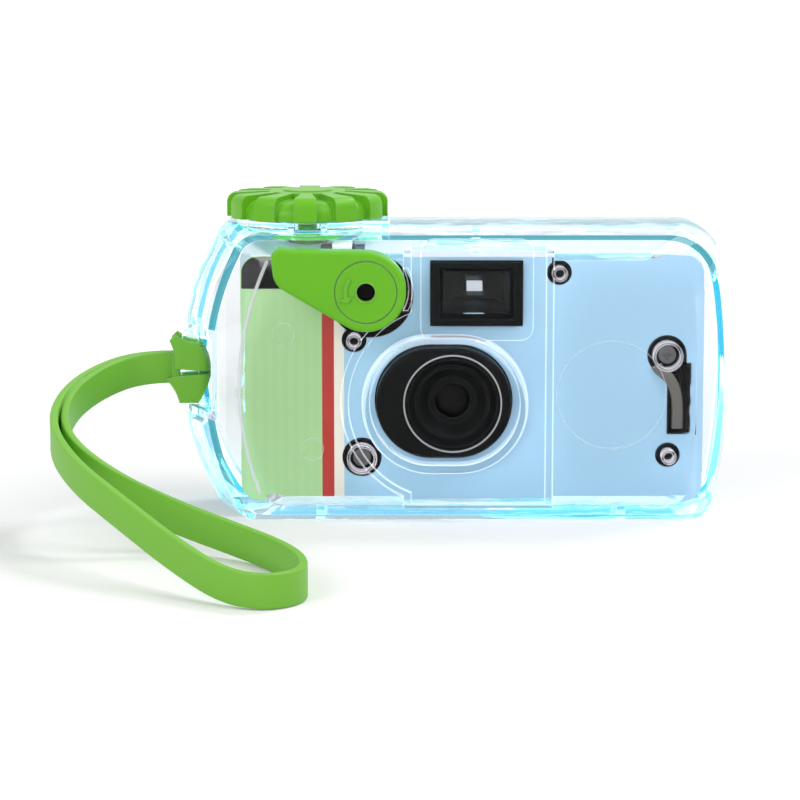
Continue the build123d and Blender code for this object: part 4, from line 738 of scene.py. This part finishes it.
zones.color_ramp.elements[0].position = 0
zones.color_ramp.elements[0].color = (0.47, 0.71, 0.36, 1)
zones.color_ramp.elements[1].position = along_label(green_end)
zones.color_ramp.elements[1].color = (0.545, 0.045, 0.038, 1)
for x, colour in ((red_end, (0.91, 0.83, 0.75, 1)), (cream_end, (0.39, 0.62, 0.82, 1))):
    zones.color_ramp.elements.new(along_label(x)).color = colour
ribs = tree.nodes.new("ShaderNodeTexWave")
ribs.wave_profile = "SIN"
ribs.inputs["Scale"].default_value = 130
ribs.inputs["Distortion"].default_value = 0.6
on_green = arithmetic(tree, "LESS_THAN", green_end)
rib_share = arithmetic(tree, "MULTIPLY")
rib_mix = arithmetic(tree, "MULTIPLY", 0.18)
ribbed = colour_mix(tree, second=(0.36, 0.62, 0.27, 1))
side_axes = tree.nodes.new("ShaderNodeSeparateXYZ")
facing = arithmetic(tree, "ABSOLUTE")
narrow = arithmetic(tree, "LESS_THAN", 0.7)
# The narrow sides turn a darker grey here, a painted shade.
paper_side_shade = colour_mix(tree, second=(0.55, 0.54, 0.60, 1))
# The skin also paints the label's edges lighter, a painted highlight.
skin = tree.nodes.new("ShaderNodeGroup")
skin.node_tree = mould_skin
skin.inputs["Drift"].default_value = 0.02
skin.inputs["Edge Light"].default_value = 0.3
skin.inputs["Edge Round"].default_value = 0.0002
skin.inputs["Grain Size"].default_value = 2500
skin.inputs["Grain Depth"].default_value = 0.000004
join(
    tree,
    (place, "Object", axes, "Vector"),
    (axes, "X", field, "Value"),
    (field, "Result", zones, "Fac"),
    (place, "Object", ribs, "Vector"),
    (axes, "X", on_green, 0),
    (on_green, "Value", rib_share, 0),
    (ribs, "Fac", rib_share, 1),
    (rib_share, "Value", rib_mix, 0),
    (rib_mix, "Value", ribbed, "Factor"),
    (zones, "Color", ribbed, "A"),
    (place, "Normal", side_axes, "Vector"),
    (side_axes, "Y", facing, 0),
    (facing, "Value", narrow, 0),
    (narrow, "Value", paper_side_shade, "Factor"),
    (ribbed, "Result", paper_side_shade, "A"),
    (paper_side_shade, "Result", skin, "Colour"),
    (skin, "Colour", ink, "Base Color"),
    (skin, "Normal", ink, "Normal"),
)
dress("printed_label", label_print)

# The floor is a wide sheet of white card. It shows as white to the eye, in the gloss and
# through the clear case, and keeps the soft shadow.
floor_half = 6.0
floor_grid = np.array([(-1, -1), (1, -1), (1, 1), (-1, 1)]) * floor_half
floor_mesh = bpy.data.meshes.new("white_card")
floor_mesh.from_pydata([(x, y, 0) for x, y in floor_grid.tolist()], [], [(0, 1, 2, 3)])
floor = bpy.data.objects.new("white_card", floor_mesh)
bpy.context.scene.collection.objects.link(floor)
card = bpy.data.materials.new("white_card")
card.use_nodes = True
tree = card.node_tree
shader = tree.nodes["Principled BSDF"]
shader.inputs["Base Color"].default_value = (0.82, 0.82, 0.82, 1)
shader.inputs["Roughness"].default_value = 0.9
shader.inputs["Specular IOR Level"].default_value = 0.0
shader.inputs["Emission Color"].default_value = (1, 1, 1, 1)


def sees_background(tree):
    """One for rays from the eye, from gloss and through clear plastic, and nought for the others."""
    rays = tree.nodes.new("ShaderNodeLightPath")
    either = arithmetic(tree, "MAXIMUM")
    any_of = arithmetic(tree, "MAXIMUM")
    join(
        tree,
        (rays, "Is Camera Ray", either, 0),
        (rays, "Is Glossy Ray", either, 1),
        (either, "Value", any_of, 0),
        (rays, "Is Transmission Ray", any_of, 1),
    )
    return any_of


seen = sees_background(tree)
place = tree.nodes.new("ShaderNodeTexCoord")
# The card is plain near the part, so that the shadow stays, and white further out.
distance = tree.nodes.new("ShaderNodeVectorMath")
distance.operation = "LENGTH"
fade = remap(tree, (0.2, 0.7), (0.1, 1.0))
lift = arithmetic(tree, "MULTIPLY")
rays = tree.nodes.new("ShaderNodeLightPath")
through_case = remap(tree, (0, 1), (1.0, 0.2))
dimmed = arithmetic(tree, "MULTIPLY")
join(
    tree,
    (place, "Object", distance, 0),
    (distance, "Value", fade, "Value"),
    (fade, "Result", lift, 0),
    (seen, "Value", lift, 1),
    (rays, "Is Transmission Ray", through_case, "Value"),
    (lift, "Value", dimmed, 0),
    (through_case, "Result", dimmed, 1),
    (dimmed, "Value", shader, "Emission Strength"),
)
floor_mesh.materials.append(card)

# Studio light: a pale tent all round, a large soft lamp high at the right, another from
# the left in front, and a small one behind that throws the shadow forward.
world = bpy.data.worlds.new("tent")
bpy.context.scene.world = world
world.use_nodes = True
tree = world.node_tree
tent = tree.nodes["Background"]
level = remap(tree, (0, 1), (0.55, 1.0))
# The tent's cloth hangs in soft lilac-grey folds, which only the clear plastic shows.
rays = tree.nodes.new("ShaderNodeLightPath")
toward = tree.nodes.new("ShaderNodeTexCoord")
folds = tree.nodes.new("ShaderNodeTexWave")
folds.inputs["Scale"].default_value = 4
folds.inputs["Distortion"].default_value = 3
fold_shade = colour_mix(tree, first=(0.34, 0.32, 0.38, 1), second=(0.84, 0.80, 0.89, 1))
cloth = colour_mix(tree, first=(1, 1, 1, 1))
join(
    tree,
    (sees_background(tree), "Value", level, "Value"),
    (level, "Result", tent, "Strength"),
    (toward, "Generated", folds, "Vector"),
    (folds, "Fac", fold_shade, "Factor"),
    (fold_shade, "Result", cloth, "B"),
    (rays, "Is Transmission Ray", cloth, "Factor"),
    (cloth, "Result", tent, "Color"),
)


def softbox(name, place, target, size, power):
    """A square soft lamp that faces a point."""
    lamp = bpy.data.lights.new(name, "AREA")
    lamp.shape = "SQUARE"
    lamp.size = size
    lamp.energy = power
    stand = bpy.data.objects.new(name, lamp)
    bpy.context.scene.collection.objects.link(stand)
    stand.location = place
    stand.rotation_euler = (Vector(target) - Vector(place)).to_track_quat("-Z", "Y").to_euler()


middle = (0, 0, 0.03)
softbox("key", (0.75, -0.35, 1.25), middle, 0.7, 8)
softbox("fill", (-0.9, -1.1, 0.8), middle, 0.8, 8)
softbox("rim", (0.55, 0.5, 1.1), middle, 0.35, 4.5)
